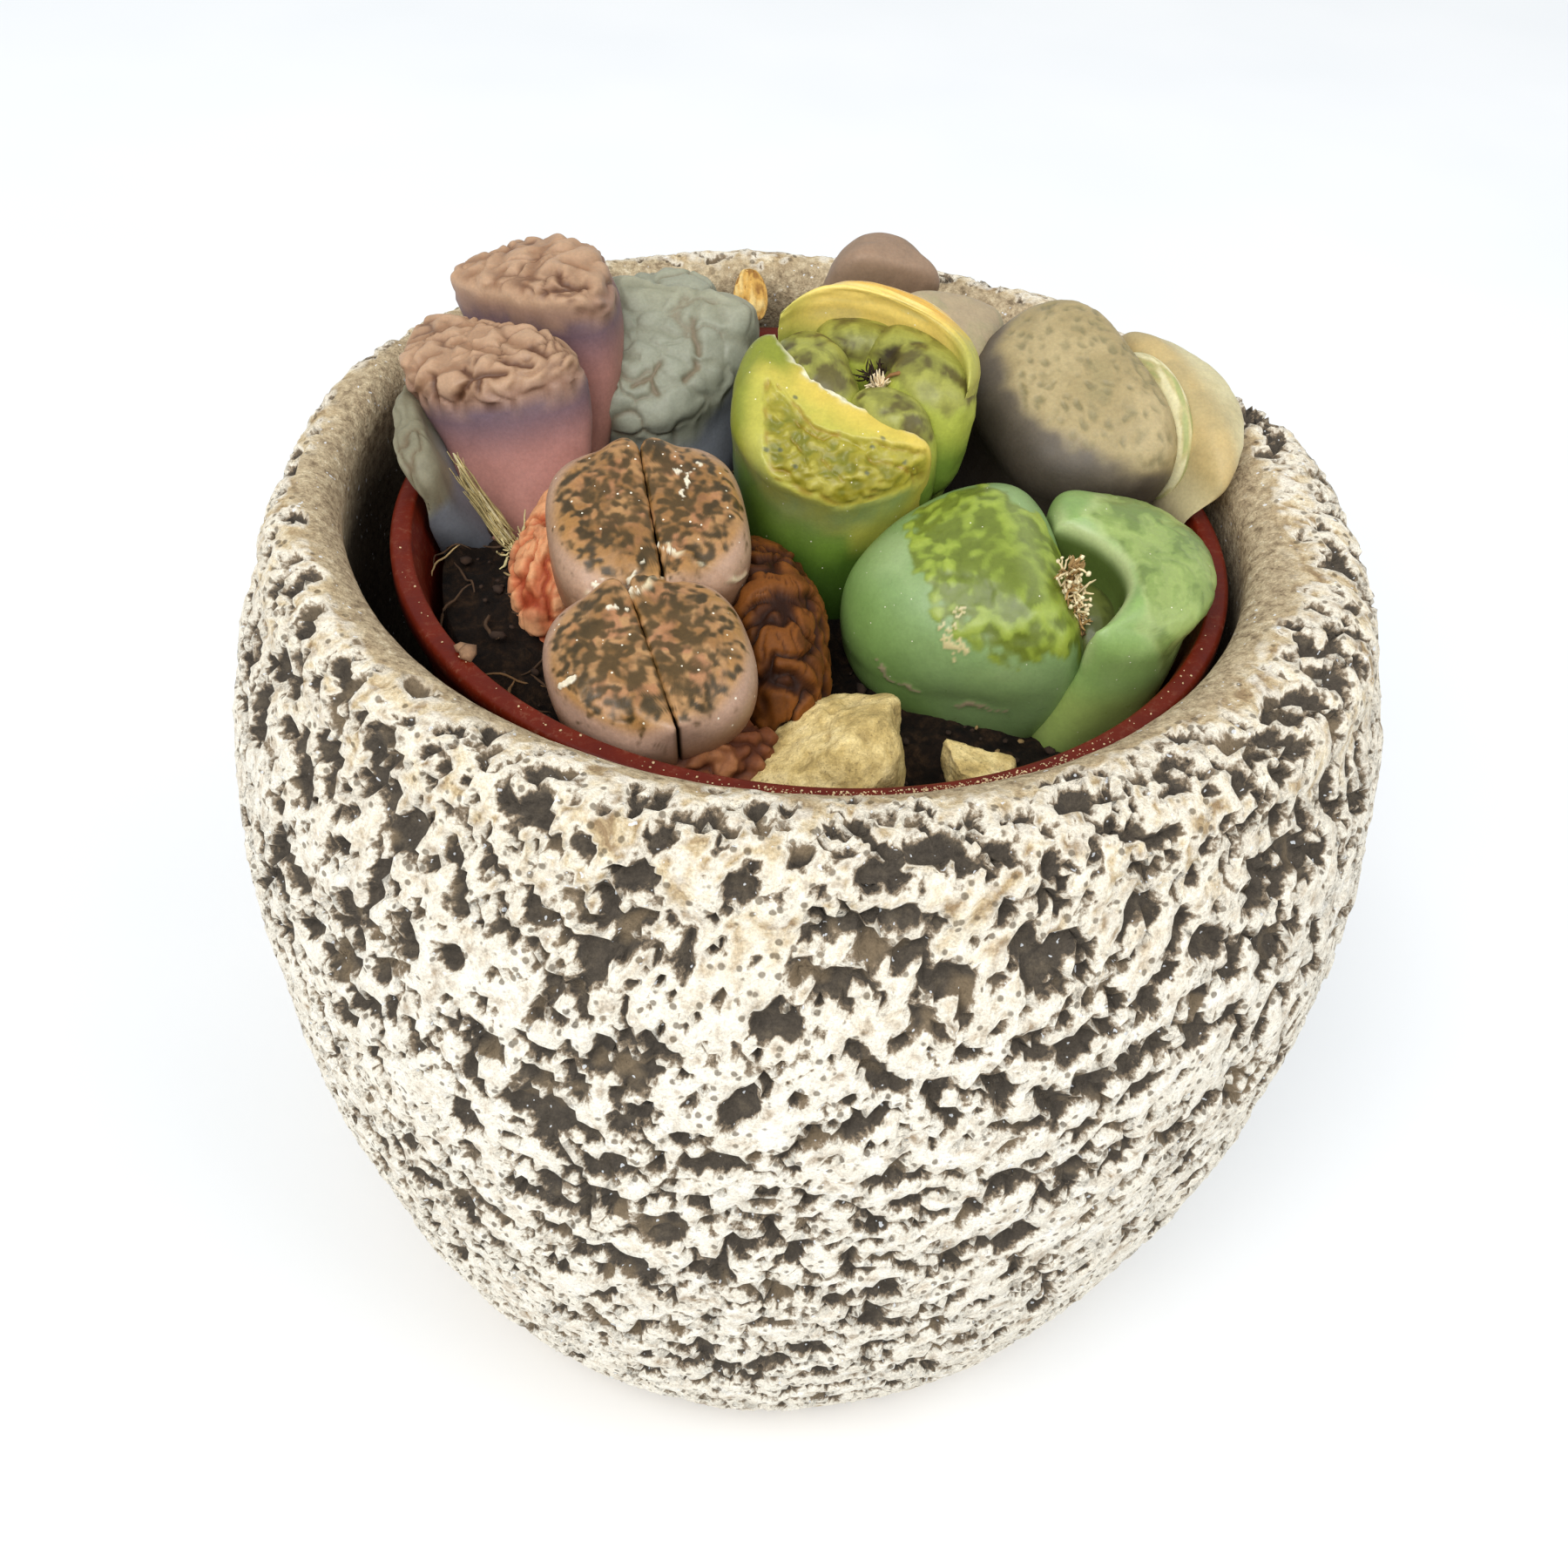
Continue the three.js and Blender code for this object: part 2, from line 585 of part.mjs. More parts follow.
// Pieces in the order in which they were there first: a later one gives way to an earlier.
const shapes = [
  ...["yellow_old_leaf_front"].map((name) => [name, leafSolid, leaves[name]]),
  ...Object.entries(lobes)
    .filter(([name]) => name.includes("_new_"))
    .map(([name, lobe]) => [name, lobeSolid, lobe]),
  ...Object.entries(leaves)
    .filter(([name]) => name !== "yellow_old_leaf_front")
    .map(([name, leaf]) => [name, leafSolid, leaf]),
  ...Object.entries(lobes)
    .filter(([name]) => !name.includes("_new_"))
    .map(([name, lobe]) => [name, lobeSolid, lobe]),
  ...Object.entries(pebbles).map(([name, pebble]) => [name, pebbleSolid, pebble]),
  ...Object.entries(roots).map(([name, root]) => [name, rootSolid, root]),
];

// Both rims with their clearance, for leaves that lean over them. The rings start below the
// collars and reach outwards past the rims.
const KEEP_OUT_FOOT = 56;
const NURSERY_KEEP_OUT = 28.4;
const STONE_KEEP_OUT = 40;

function nurseryKeepOut() {
  const { rimRadius, rimInner, rimTop } = nursery;
  const foot = [nurseryInside(KEEP_OUT_FOOT) - GAP, KEEP_OUT_FOOT];
  const profile = [
    foot, [NURSERY_KEEP_OUT, KEEP_OUT_FOOT], [NURSERY_KEEP_OUT, rimTop - 0.6],
    [rimRadius, rimTop + GAP], [rimInner, rimTop + GAP], [rimInner - GAP, rimTop],
    [nurseryInside(wallHead) - GAP, wallHead], foot,
  ];
  return turned(profile, nursery.segments, nursery.centre);
}

function stoneKeepOut() {
  const { mouthRadius, height, segments, hollowCentre } = stone;
  const foot = [mouthRadius - GAP, KEEP_OUT_FOOT];
  const profile = [
    foot, [STONE_KEEP_OUT, KEEP_OUT_FOOT], [STONE_KEEP_OUT - 4, height - 1.5],
    [mouthRadius + 2.6, height + GAP], [mouthRadius + 1.9, height + GAP],
    [mouthRadius + 0.8, height - 0.1], [mouthRadius, height - 1],
    [mouthRadius - GAP, height - 2], foot,
  ];
  return turned(profile, segments, hollowCentre);
}

const NEGLIGIBLE = 1e-4; // cubic millimetres
const placed = [
  { solid: liner, clearance: nurseryKeepOut() },
  { solid: pot, clearance: stoneKeepOut() },
];
let ground = soilBody();
for (const [name, make, spec] of shapes) {
  let solid = make(spec);
  for (const other of placed) {
    if (solid.intersect(other.solid).volume() > NEGLIGIBLE) {
      solid = solid.subtract(other.clearance);
    }
  }
  const clearance = make(spec, GAP);
  placed.push({ solid, clearance });
  ground = ground.subtract(clearance);
  addMesh(name, solid);
}
addMesh("soil", ground);

export default group;
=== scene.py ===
"""Potted lithops: eight stone plants crowded in a small nursery pot, inside a pitted cement pot.

Shapes are worked out in millimetres with numpy and turn into metres when they become meshes.
+Z is up and -Y is the front. The plain solids of the frame are replaced by fine surfaces that
follow the same forms.
"""
from types import SimpleNamespace

import bpy
import numpy as np
from mathutils import Matrix, Vector


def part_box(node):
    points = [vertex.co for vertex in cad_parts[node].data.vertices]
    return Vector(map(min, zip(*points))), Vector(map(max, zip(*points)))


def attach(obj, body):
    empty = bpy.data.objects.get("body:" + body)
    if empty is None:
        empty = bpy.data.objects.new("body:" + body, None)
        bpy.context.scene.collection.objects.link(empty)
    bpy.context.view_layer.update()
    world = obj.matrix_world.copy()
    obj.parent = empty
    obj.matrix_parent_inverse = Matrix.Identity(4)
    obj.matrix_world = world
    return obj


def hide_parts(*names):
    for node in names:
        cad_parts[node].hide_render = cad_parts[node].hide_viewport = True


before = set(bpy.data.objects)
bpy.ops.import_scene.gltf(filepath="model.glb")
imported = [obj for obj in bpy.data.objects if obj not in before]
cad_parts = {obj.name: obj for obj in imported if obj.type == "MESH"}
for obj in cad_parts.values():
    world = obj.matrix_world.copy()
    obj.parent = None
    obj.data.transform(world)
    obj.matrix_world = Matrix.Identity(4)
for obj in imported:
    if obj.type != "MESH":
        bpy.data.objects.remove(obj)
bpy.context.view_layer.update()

MM = 0.001
UP = np.array([0.0, 0.0, 1.0])


def box_mm(node):
    """Lowest and highest corner of a solid of the frame, in millimetres."""
    low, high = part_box(node)
    return np.array(low) / MM, np.array(high) / MM


# ---- noise and patterns ------------------------------------------------------------------


def scattered(place, salt):
    """A random number from 0 to 1 for each whole-number place, by mixing the place's bits."""
    x, y, z = (place[..., i].astype(np.int64).astype(np.uint32) for i in range(3))
    mixed = x * np.uint32(0x9E3779B1) ^ y * np.uint32(0x85EBCA77) ^ z * np.uint32(0xC2B2AE3D)
    mixed = mixed + np.uint32((salt * 0x27D4EB2F) & 0xFFFFFFFF)
    for shift, factor in ((15, 0x2C1B3C6D), (12, 0x297A2D39), (15, 1)):
        mixed = (mixed ^ (mixed >> np.uint32(shift))) * np.uint32(factor)
    return mixed / 2.0**32


def noise(points, size, salt=0):
    """Smooth noise from -1 to 1: random values `size` mm apart, blended by 6t^5 - 15t^4 + 10t^3."""
    spread = points / size
    cell = np.floor(spread)
    t = spread - cell
    t = t * t * t * (t * (6 * t - 15) + 10)
    total = np.zeros(points.shape[:-1])
    for corner in np.ndindex(2, 2, 2):
        share = np.prod(np.where(corner, t, 1 - t), axis=-1)
        total += share * scattered(cell + corner, salt)
    return 2 * total - 1


OCTAVE_SHIFT = 17.3  # millimetres, so the octaves' grids don't line up
CLOUD_GAIN = 1.7  # brings layered noise back to about -1 to 1


def clouds(points, size, octaves=4, salt=0, rough=0.5):
    """Noise with finer noise over it, each octave half as large and `rough` times as strong."""
    total, weight, reach = 0.0, 1.0, 0.0
    for k in range(octaves):
        total = total + weight * noise(points + OCTAVE_SHIFT * k, size / 2**k, salt + k)
        reach += weight
        weight *= rough
    return CLOUD_GAIN * total / reach


def drifted(points, size, amount, salt=0):
    """Points moved by smooth noise of its own along each axis, to bend a pattern."""
    moves = [clouds(points, size, 2, salt + 31 * i) for i in range(3)]
    return points + amount * np.stack(moves, -1)


TURNED = np.array([[0.36, 0.48, -0.8], [-0.8, 0.6, 0.0], [0.48, 0.64, 0.6]])  # slanting axes
FAR = 99.0  # further away than anything, in millimetres


def blots(points, size, salt=0):
    """Noise, more noise on turned axes and a third of finer noise, so that blots above a level
    wander evenly in every direction."""
    return (
        noise(points, size, salt) + noise(points @ TURNED, size, salt + 4)
        + 0.35 * noise(points @ TURNED.T, size * 0.5, salt + 8)
    )


def cells(points, size, salt=0):
    """Distances, in cells, to the nearest and second nearest of points strewn one to a cell of
    `size` mm, and a random number that belongs to the nearest."""
    spread = points / size
    base = np.floor(spread)
    near = np.full(points.shape[:-1], 9.0)
    second, tag = near.copy(), np.zeros_like(near)
    for offset in np.ndindex(3, 3, 3):
        place = base + offset - 1
        spot = place + np.stack([scattered(place, salt + i) for i in range(3)], -1)
        distance = np.linalg.norm(spread - spot, axis=-1)
        closer = distance < near
        second = np.where(closer, near, np.minimum(second, distance))
        tag = np.where(closer, scattered(place, salt + 3), tag)
        near = np.where(closer, distance, near)
    return near, second, tag


def all_round(count):
    """Bearings in radians, evenly spaced round a full turn."""
    return 2 * np.pi * np.arange(count) / count


def pointing(bearing, lift):
    """Unit rays at a bearing and an angle above the horizon, both in radians."""
    return np.stack([
        np.cos(lift) * np.cos(bearing), np.cos(lift) * np.sin(bearing),
        np.sin(lift) * np.ones_like(bearing),
    ], -1)


def ease(low, high, value):
    """0 at `low`, 1 at `high` and 3t^2 - 2t^3 between them."""
    t = np.clip((value - low) / (high - low), 0, 1)
    return t * t * (3 - 2 * t)


def paint(code):
    """Linear red, green and blue of a colour written as six hexadecimal digits."""
    shown = np.array([int(code[i : i + 2], 16) for i in (0, 2, 4)]) / 255
    return np.where(shown <= 0.04045, shown / 12.92, ((shown + 0.055) / 1.055) ** 2.4)


def coated(tint, *coats):
    """Colours under coats of paint. Each coat is a colour code and how far it covers, 0 to 1."""
    for code, cover in coats:
        cover = np.asarray(cover)[..., None]
        tint = tint * (1 - cover) + paint(code) * cover
    return tint


def painted(points, base, *coats):
    """One base colour at every point, under coats of paint."""
    return coated(np.broadcast_to(paint(base), points.shape), *coats)


# ---- materials ---------------------------------------------------------------------------


class Finish:
    """A material being mixed. Its methods add nodes and return their outputs. Sizes are in
    millimetres on Object coordinates."""

    def __init__(self, name, **sockets):
        """A new material whose shader sockets have the given values."""
        self.material = bpy.data.materials.new(name)
        self.material.use_nodes = True
        self.tree = self.material.node_tree
        self.shader = self.tree.nodes["Principled BSDF"]
        for socket, value in sockets.items():
            self.shader.inputs[socket.replace("_", " ")].default_value = value
        self.coordinates = self.tree.nodes.new("ShaderNodeTexCoord").outputs["Object"]

    def node(self, kind, inputs=(), **settings):
        """One node, whose inputs are linked to outputs or set to plain values."""
        made = self.tree.nodes.new("ShaderNode" + kind)
        for key, value in settings.items():
            setattr(made, key, value)
        for key, value in dict(inputs).items():
            if isinstance(value, bpy.types.NodeSocket):
                self.tree.links.new(value, made.inputs[key])
            else:
                made.inputs[key].default_value = value
        return made

    def scaled(self, size, stretch=(1, 1, 1)):
        """Coordinates on which a pattern of scale 1 has features about `size` millimetres wide."""
        scale = [share / (size * MM) for share in stretch]
        return self.node("Mapping", {"Vector": self.coordinates, "Scale": scale}).outputs[0]

    def noise(self, size, detail=3, rough=0.55, warp=0.0, stretch=(1, 1, 1)):
        """Layered noise from 0 to 1."""
        values = {"Vector": self.scaled(size, stretch), "Scale": 1.0, "Detail": detail}
        values |= {"Roughness": rough, "Distortion": warp}
        return self.node("TexNoise", values).outputs[0]

    def cells(self, size):
        """Distance to the nearest of points strewn one to a cell."""
        values = {"Vector": self.scaled(size), "Scale": 1.0}
        return self.node("TexVoronoi", values, feature="F1").outputs["Distance"]

    def mark(self, name, output="Fac"):
        """A value or colour that was painted on the mesh."""
        return self.node("Attribute", attribute_name=name).outputs[output]

    def ramp(self, value, *stops):
        """Colours blended between stops, each a place from 0 to 1 and a colour code."""
        made = self.node("ValToRGB", {"Fac": value})
        points = made.color_ramp.elements
        while len(points) < len(stops):
            points.new(0.5)
        for point, (place, colour) in zip(points, stops):
            point.position = place
            point.color = (*paint(colour), 1)
        return made.outputs[0]

    def mix(self, cover, under, over, way="MIX"):
        """One colour over another, by a share from 0 to 1. Either may be a colour code."""
        values = {"Fac": cover, "Color1": under, "Color2": over}
        for key, value in values.items():
            if isinstance(value, str):
                values[key] = (*paint(value), 1)
        return self.node("MixRGB", values, blend_type=way).outputs[0]

    def math(self, way, first, second):
        """Two values joined by one sum."""
        return self.node("Math", {0: first, 1: second}, operation=way).outputs[0]

    def spread(self, value, low, high, to_low=0.0, to_high=1.0):
        """A value between `low` and `high` moved to between `to_low` and `to_high`."""
        values = {"Value": value, "From Min": low, "From Max": high}
        values |= {"To Min": to_low, "To Max": to_high}
        return self.node("MapRange", values).outputs[0]

    def bump(self, height, depth, over=None):
        """Normals of a relief `depth` millimetres high, on top of others if they are given."""
        values = {"Height": height, "Distance": depth * MM, "Strength": 1.0}
        if over is not None:
            values["Normal"] = over
        return self.node("Bump", values).outputs[0]

    def wear(self, **sources):
        """Links outputs to the shader's sockets and hands over the material."""
        for socket, source in sources.items():
            self.tree.links.new(source, self.shader.inputs[socket.replace("_", " ")])
        return self.material


def fleshy(
    name, roughness, speckle=0.12, grain=0.02, gloss=0.0, inner=0.06, inner_colour=(1, 0.5, 0.25),
    dust_and_glints=0.0, shine=0.5,
):
    """Waxy plant skin over watery flesh: the painted colour times fine speckles and faint
    clouds, with a few pale dots, partly dust and partly painted glints, where their share is
    above 0."""
    made = Finish(
        name, Roughness=roughness, Coat_Weight=gloss, Coat_Roughness=0.25,
        Subsurface_Weight=inner, Subsurface_Scale=0.0012, Subsurface_Radius=inner_colour,
        IOR=1.42, Specular_IOR_Level=shine,
    )
    fine = made.noise(0.22, 4, 0.65)
    broad = made.noise(1.1, 3, 0.55, 0.3)
    speckled = made.spread(fine, 0.3, 0.7, 1 - speckle, 1 + speckle)
    clouded = made.spread(broad, 0.3, 0.7, 0.94, 1.06)
    shade = made.math("MULTIPLY", speckled, clouded)
    colour = made.mix(1.0, made.mark("tint", "Color"), shade, "MULTIPLY")
    if dust_and_glints:
        # pale dots: partly dust, partly painted glints
        dust = made.math("LESS_THAN", made.cells(0.9), dust_and_glints + 0.03)
        colour = made.mix(made.math("MULTIPLY", dust, 0.85), colour, "f6f0dc")
    uneven = made.spread(broad, 0.25, 0.75, roughness - 0.1, roughness + 0.12)
    return made.wear(Base_Color=colour, Roughness=uneven, Normal=made.bump(fine, grain))


# ---- meshes ------------------------------------------------------------------------------


def make_piece(name, points, faces, finish, stands_for=(), marks=None):
    """One mesh piece, given in millimetres, that rides on the pot and may stand for solids."""
    mesh = bpy.data.meshes.new(name)
    mesh.from_pydata((np.asarray(points) * MM).tolist(), [], faces)
    mesh.polygons.foreach_set("use_smooth", np.ones(len(mesh.polygons), bool))
    for key, values in (marks or {}).items():
        if values.ndim == 2:
            layer = mesh.attributes.new(key, "FLOAT_COLOR", "POINT")
            shown = np.concatenate([values, np.ones((len(values), 1))], 1)
            layer.data.foreach_set("color", shown.astype(np.float32).ravel())
        else:
            layer = mesh.attributes.new(key, "FLOAT", "POINT")
            layer.data.foreach_set("value", values.astype(np.float32))
    mesh.materials.append(finish)
    mesh.update()
    piece = bpy.data.objects.new(name, mesh)
    bpy.context.collection.objects.link(piece)
    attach(piece, "root")
    if stands_for:
        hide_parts(*stands_for)
    return piece


def ring_faces(rows, around):
    """Faces of a closed skin through `rows` rings: four-sided between them, and a fan to the
    middle of each end. The two middles come after the rings."""
    k = np.arange(around)
    after = (k + 1) % around
    low = np.arange(rows - 1)[:, None] * around
    sides = np.stack([low + k, low + after, low + around + after, low + around + k], -1)
    foot, last = rows * around, (rows - 1) * around
    bottom = np.stack([np.full(around, foot), after, k], -1)
    top = np.stack([np.full(around, foot + 1), last + k, last + after], -1)
    return sides.reshape(-1, 4).tolist() + bottom.tolist() + top.tolist()


def with_middles(rings):
    """Values on rings as one list, with the mean of the first and the last ring added."""
    flat = rings.reshape(-1, *rings.shape[2:])
    return np.concatenate([flat, rings[:1].mean(1), rings[-1:].mean(1)])


def make_skin(name, rings, finish, stands_for=(), marks=None):
    """A piece whose surface runs through a stack of rings, from the bottom up."""
    rows, around = rings.shape[:2]
    flat_marks = {key: with_middles(values) for key, values in (marks or {}).items()}
    return make_piece(
        name, with_middles(rings), ring_faces(rows, around), finish, stands_for, flat_marks
    )


def make_flesh(node, rings, finish, tint):
    """The painted skin that stands for one solid of a plant."""
    make_skin(node + "_flesh", rings, finish, [node], {"tint": tint})


def outward(rings):
    """Outward unit normals of a stack of rings: the cross product of its two directions."""
    across = np.roll(rings, -1, 1) - np.roll(rings, 1, 1)
    normals = np.cross(across, np.gradient(rings, axis=0))
    return normals / np.maximum(np.linalg.norm(normals, axis=-1, keepdims=True), 1e-9)


def pushed(rings, amount):
    """Rings moved outwards along their normals by an amount in millimetres."""
    return rings + outward(rings) * amount[..., None]


def threads(paths, radii, sides, flat=1.0):
    """Closed tubes along many paths (count, steps, 3) at once: each step carries a ring of
    `sides` points, turned from a fixed direction made square to the path. `flat` below 1
    presses the tube into a ribbon."""
    count, steps = paths.shape[:2]
    ahead = np.gradient(paths, axis=1)
    ahead /= np.maximum(np.linalg.norm(ahead, axis=-1, keepdims=True), 1e-9)
    first = np.cross(ahead, [0.31, 0.52, 0.79])
    first /= np.maximum(np.linalg.norm(first, axis=-1, keepdims=True), 1e-9)
    second = np.cross(ahead, first) * flat
    turn = all_round(sides)[:, None]
    spoke = first[:, :, None] * np.cos(turn) + second[:, :, None] * np.sin(turn)
    rings = paths[:, :, None] + spoke * np.broadcast_to(radii, (count, steps))[..., None, None]
    points = np.concatenate([with_middles(tube) for tube in rings])
    step = steps * sides + 2
    one = ring_faces(steps, sides)
    faces = [[corner + k * step for corner in face] for k in range(count) for face in one]
    return points, faces


CRUMB = np.array([  # corners of a twenty-sided lump of radius 1
    (0, 0, 1), (0.89, 0, 0.45), (0.28, 0.85, 0.45), (-0.72, 0.53, 0.45), (-0.72, -0.53, 0.45),
    (0.28, -0.85, 0.45), (0.72, 0.53, -0.45), (-0.28, 0.85, -0.45), (-0.89, 0, -0.45),
    (-0.28, -0.85, -0.45), (0.72, -0.53, -0.45), (0, 0, -1),
])
CRUMB_FACES = (
    [[0, 1 + k, 1 + (k + 1) % 5] for k in range(5)]
    + [[1 + k, 6 + k, 1 + (k + 1) % 5] for k in range(5)]
    + [[6 + k, 6 + (k + 1) % 5, 1 + (k + 1) % 5] for k in range(5)]
    + [[11, 6 + (k + 1) % 5, 6 + k] for k in range(5)]
)


def crumbs(centres, sizes, chance, flat=0.7):
    """Small twenty-sided lumps, each stretched and roughened at random, as one mesh."""
    count = len(centres)
    stretch = chance.uniform(0.6, 1.3, (count, 1, 3)) * [1, 1, flat]
    rough = chance.uniform(0.75, 1.2, (count, 12, 1))
    turn = chance.uniform(0, 2 * np.pi, count)
    cosine, sine = np.cos(turn), np.sin(turn)
    lumps = CRUMB * rough * stretch * sizes[:, None, None]
    x = cosine[:, None] * lumps[..., 0] - sine[:, None] * lumps[..., 1]
    y = sine[:, None] * lumps[..., 0] + cosine[:, None] * lumps[..., 1]
    points = np.stack([x, y, lumps[..., 2]], -1) + centres[:, None]
    faces = (np.arange(count)[:, None, None] * 12 + np.array(CRUMB_FACES)).reshape(-1, 3)
    return points.reshape(-1, 3), faces.tolist()


# ---- cement pot --------------------------------------------------------------------------

STONE_HEIGHT = box_mm("stone_pot")[1][2]
STONE_OUTLINE = np.array([  # radius and height of the belly, foot to shoulder
    (26.4, 0), (27.5, 1.0), (28.6, 3.4), (31.9, 9.7), (35.3, 18.6), (37.5, 27.6), (38.9, 36.6),
    (39.5, 44.9), (39.2, 52.4), (38.0, 59.3), (35.9, 64.9),
])
MOUTH_RADIUS, MOUTH_HEIGHT = 29.6, 66.6
MOUTH_CENTRE = np.array([-1.9, 1.5])
HOLLOW_RADIUS, HOLLOW_FLOOR = 25.4, 13.5
BUBBLES = (  # spacing, widest radius as a share of it, salt
    (2.3, 0.61, 11), (1.5, 0.64, 21), (0.95, 0.62, 31),
)


def smooth_outline(outline, count):
    """`count` points spaced evenly along a curve through the outline's points, by Hermite
    pieces whose slopes are the mean of their neighbours' slopes."""
    span = np.concatenate([[0], np.cumsum(np.linalg.norm(np.diff(outline, axis=0), axis=1))])
    slope = np.gradient(outline, span, axis=0)
    s = np.linspace(0, span[-1], count)
    i = np.clip(np.searchsorted(span, s, "right") - 1, 0, len(span) - 2)
    width = (span[i + 1] - span[i])[:, None]
    t = (s[:, None] - span[i][:, None]) / width
    start, end = outline[i], outline[i + 1]
    return (
        start * (2 * t**3 - 3 * t**2 + 1) + slope[i] * width * (t**3 - 2 * t**2 + t)
        + end * (3 * t**2 - 2 * t**3) + slope[i + 1] * width * (t**3 - t**2)
    )


def stone_rings(around=552, belly_rows=120, lip_rows=27, hollow_rows=12):
    """The pot's skin before it is pitted. The belly is turned round the pot's axis. The lip is
    half of a flattened ellipse from the shoulder to the mouth, whose circle is a little off
    that axis, so the lip is broad on one side and narrow on the other."""
    bearing = all_round(around)
    ray = np.stack([np.cos(bearing), np.sin(bearing)], -1)
    shift = ray @ MOUTH_CENTRE
    off = MOUTH_CENTRE @ MOUTH_CENTRE

    def from_axis(radius):
        """Distance from the pot's axis to a circle round the mouth's centre, on each ray."""
        return shift + np.sqrt(radius**2 - off + shift**2)

    belly = smooth_outline(STONE_OUTLINE, belly_rows)
    shoulder = belly[-1]
    t = np.linspace(0, 1, lip_rows + 1)[1:, None]
    mouth = from_axis(MOUTH_RADIUS)
    middle, reach = 0.5 * (shoulder[0] + mouth), 0.5 * (shoulder[0] - mouth)
    lip_radius = middle + reach * np.sign(np.cos(np.pi * t)) * np.abs(np.cos(np.pi * t)) ** 0.9
    base = shoulder[1] + (MOUTH_HEIGHT - shoulder[1]) * t
    lip_height = base + (STONE_HEIGHT - base) * np.sin(np.pi * t) ** 0.85
    down = np.linspace(0, 1, hollow_rows + 1)[1:, None]
    hollow = MOUTH_RADIUS + 0.3 * ease(0, 0.1, down) + (HOLLOW_RADIUS - MOUTH_RADIUS) * down**1.6
    hollow_height = MOUTH_HEIGHT + (HOLLOW_FLOOR - MOUTH_HEIGHT) * down
    radius = np.concatenate([
        np.repeat(belly[:, :1], around, 1), lip_radius,
        np.stack([from_axis(r) for r in hollow[:, 0]]),
    ])
    height = np.concatenate([belly[:, 1:], lip_height, hollow_height])
    height = np.broadcast_to(height, radius.shape)
    rows = belly_rows + lip_rows + hollow_rows
    flat = np.broadcast_to(ray, (rows, around, 2)) * radius[..., None]
    across_lip = np.concatenate([np.zeros(belly_rows), t[:, 0], np.ones(hollow_rows)])
    return np.concatenate([flat, height[..., None]], -1), across_lip[:, None]


def stone_finish():
    """Cast cement: white rims round the pits and tan smears between them, tan near the lip,
    dark grey floors, and sand grains all over. Fine noise roughens the pits' edges before they
    are cut."""
    made = Finish("pitted_cement", Roughness=0.9, Specular_IOR_Level=0.25)
    pit, lip, lime = made.mark("pit"), made.mark("lip"), made.mark("lime")
    ragged = made.noise(0.5, 4, 0.65)
    smear = made.noise(1.5, 4, 0.65, 0.5)
    edge = made.math("ADD", pit, made.spread(ragged, 0.2, 0.8, -0.16, 0.16))
    bare = made.ramp(smear, (0.38, "9a8160"), (0.47, "bfa882"), (0.56, "dac8a6"), (0.68, "efe4cc"))
    limed = made.mix(made.math("MULTIPLY", lime, made.spread(smear, 0.3, 0.6)), bare, "f8f3e8")
    rimmed = made.mix(made.spread(edge, -0.42, -0.12, 0.0, 0.8), limed, "f4eddd")
    sandy = made.noise(0.7, 5, 0.75, 0.3)
    sanded = made.ramp(sandy, (0.34, "7f6d54"), (0.47, "b09c7d"), (0.6, "cbb997"), (0.74, "efe3cb"))
    lipped = made.mix(lip, rimmed, sanded)
    holes = made.spread(made.cells(0.9), 0.27, 0.19, 0.0, 0.75)
    holes = made.math("MULTIPLY", holes, made.spread(lip, 0.2, 1.0, 1.0, 0.2))
    pinned = made.mix(holes, lipped, "62543f")
    floor = made.ramp(made.noise(0.9, 4, 0.6), (0.3, "423c35"), (0.55, "544c42"), (0.8, "6e6353"))
    shallow = made.spread(made.noise(3.4, 2, 0.5), 0.56, 0.66, 0.0, 0.8)
    floor = made.mix(shallow, floor, "85745c")
    walled = made.mix(made.spread(edge, -0.05, 0.05), pinned, "93816a")
    pitted = made.mix(made.spread(edge, 0.03, 0.12), walled, floor)
    grain = made.noise(0.16, 3, 0.7)
    # painted shade: dark brown inside the hollow, darker the deeper it lies below the mouth
    deep = made.mix(made.mark("deep"), pitted, "33291f")
    sandy = made.mix(1.0, deep, made.spread(grain, 0.3, 0.7, 0.76, 1.2), "MULTIPLY")
    # painted glints: a few bluish-white specks standing for light caught by grains
    painted_glint = made.math("GREATER_THAN", made.noise(0.42, 1, 0.4), 0.745)
    colour = made.mix(made.math("MULTIPLY", painted_glint, 0.7), sandy, "eef2f6")
    rough = made.bump(made.noise(0.3, 4, 0.7), 0.09)
    return made.wear(Base_Color=colour, Normal=made.bump(ragged, 0.2, rough))


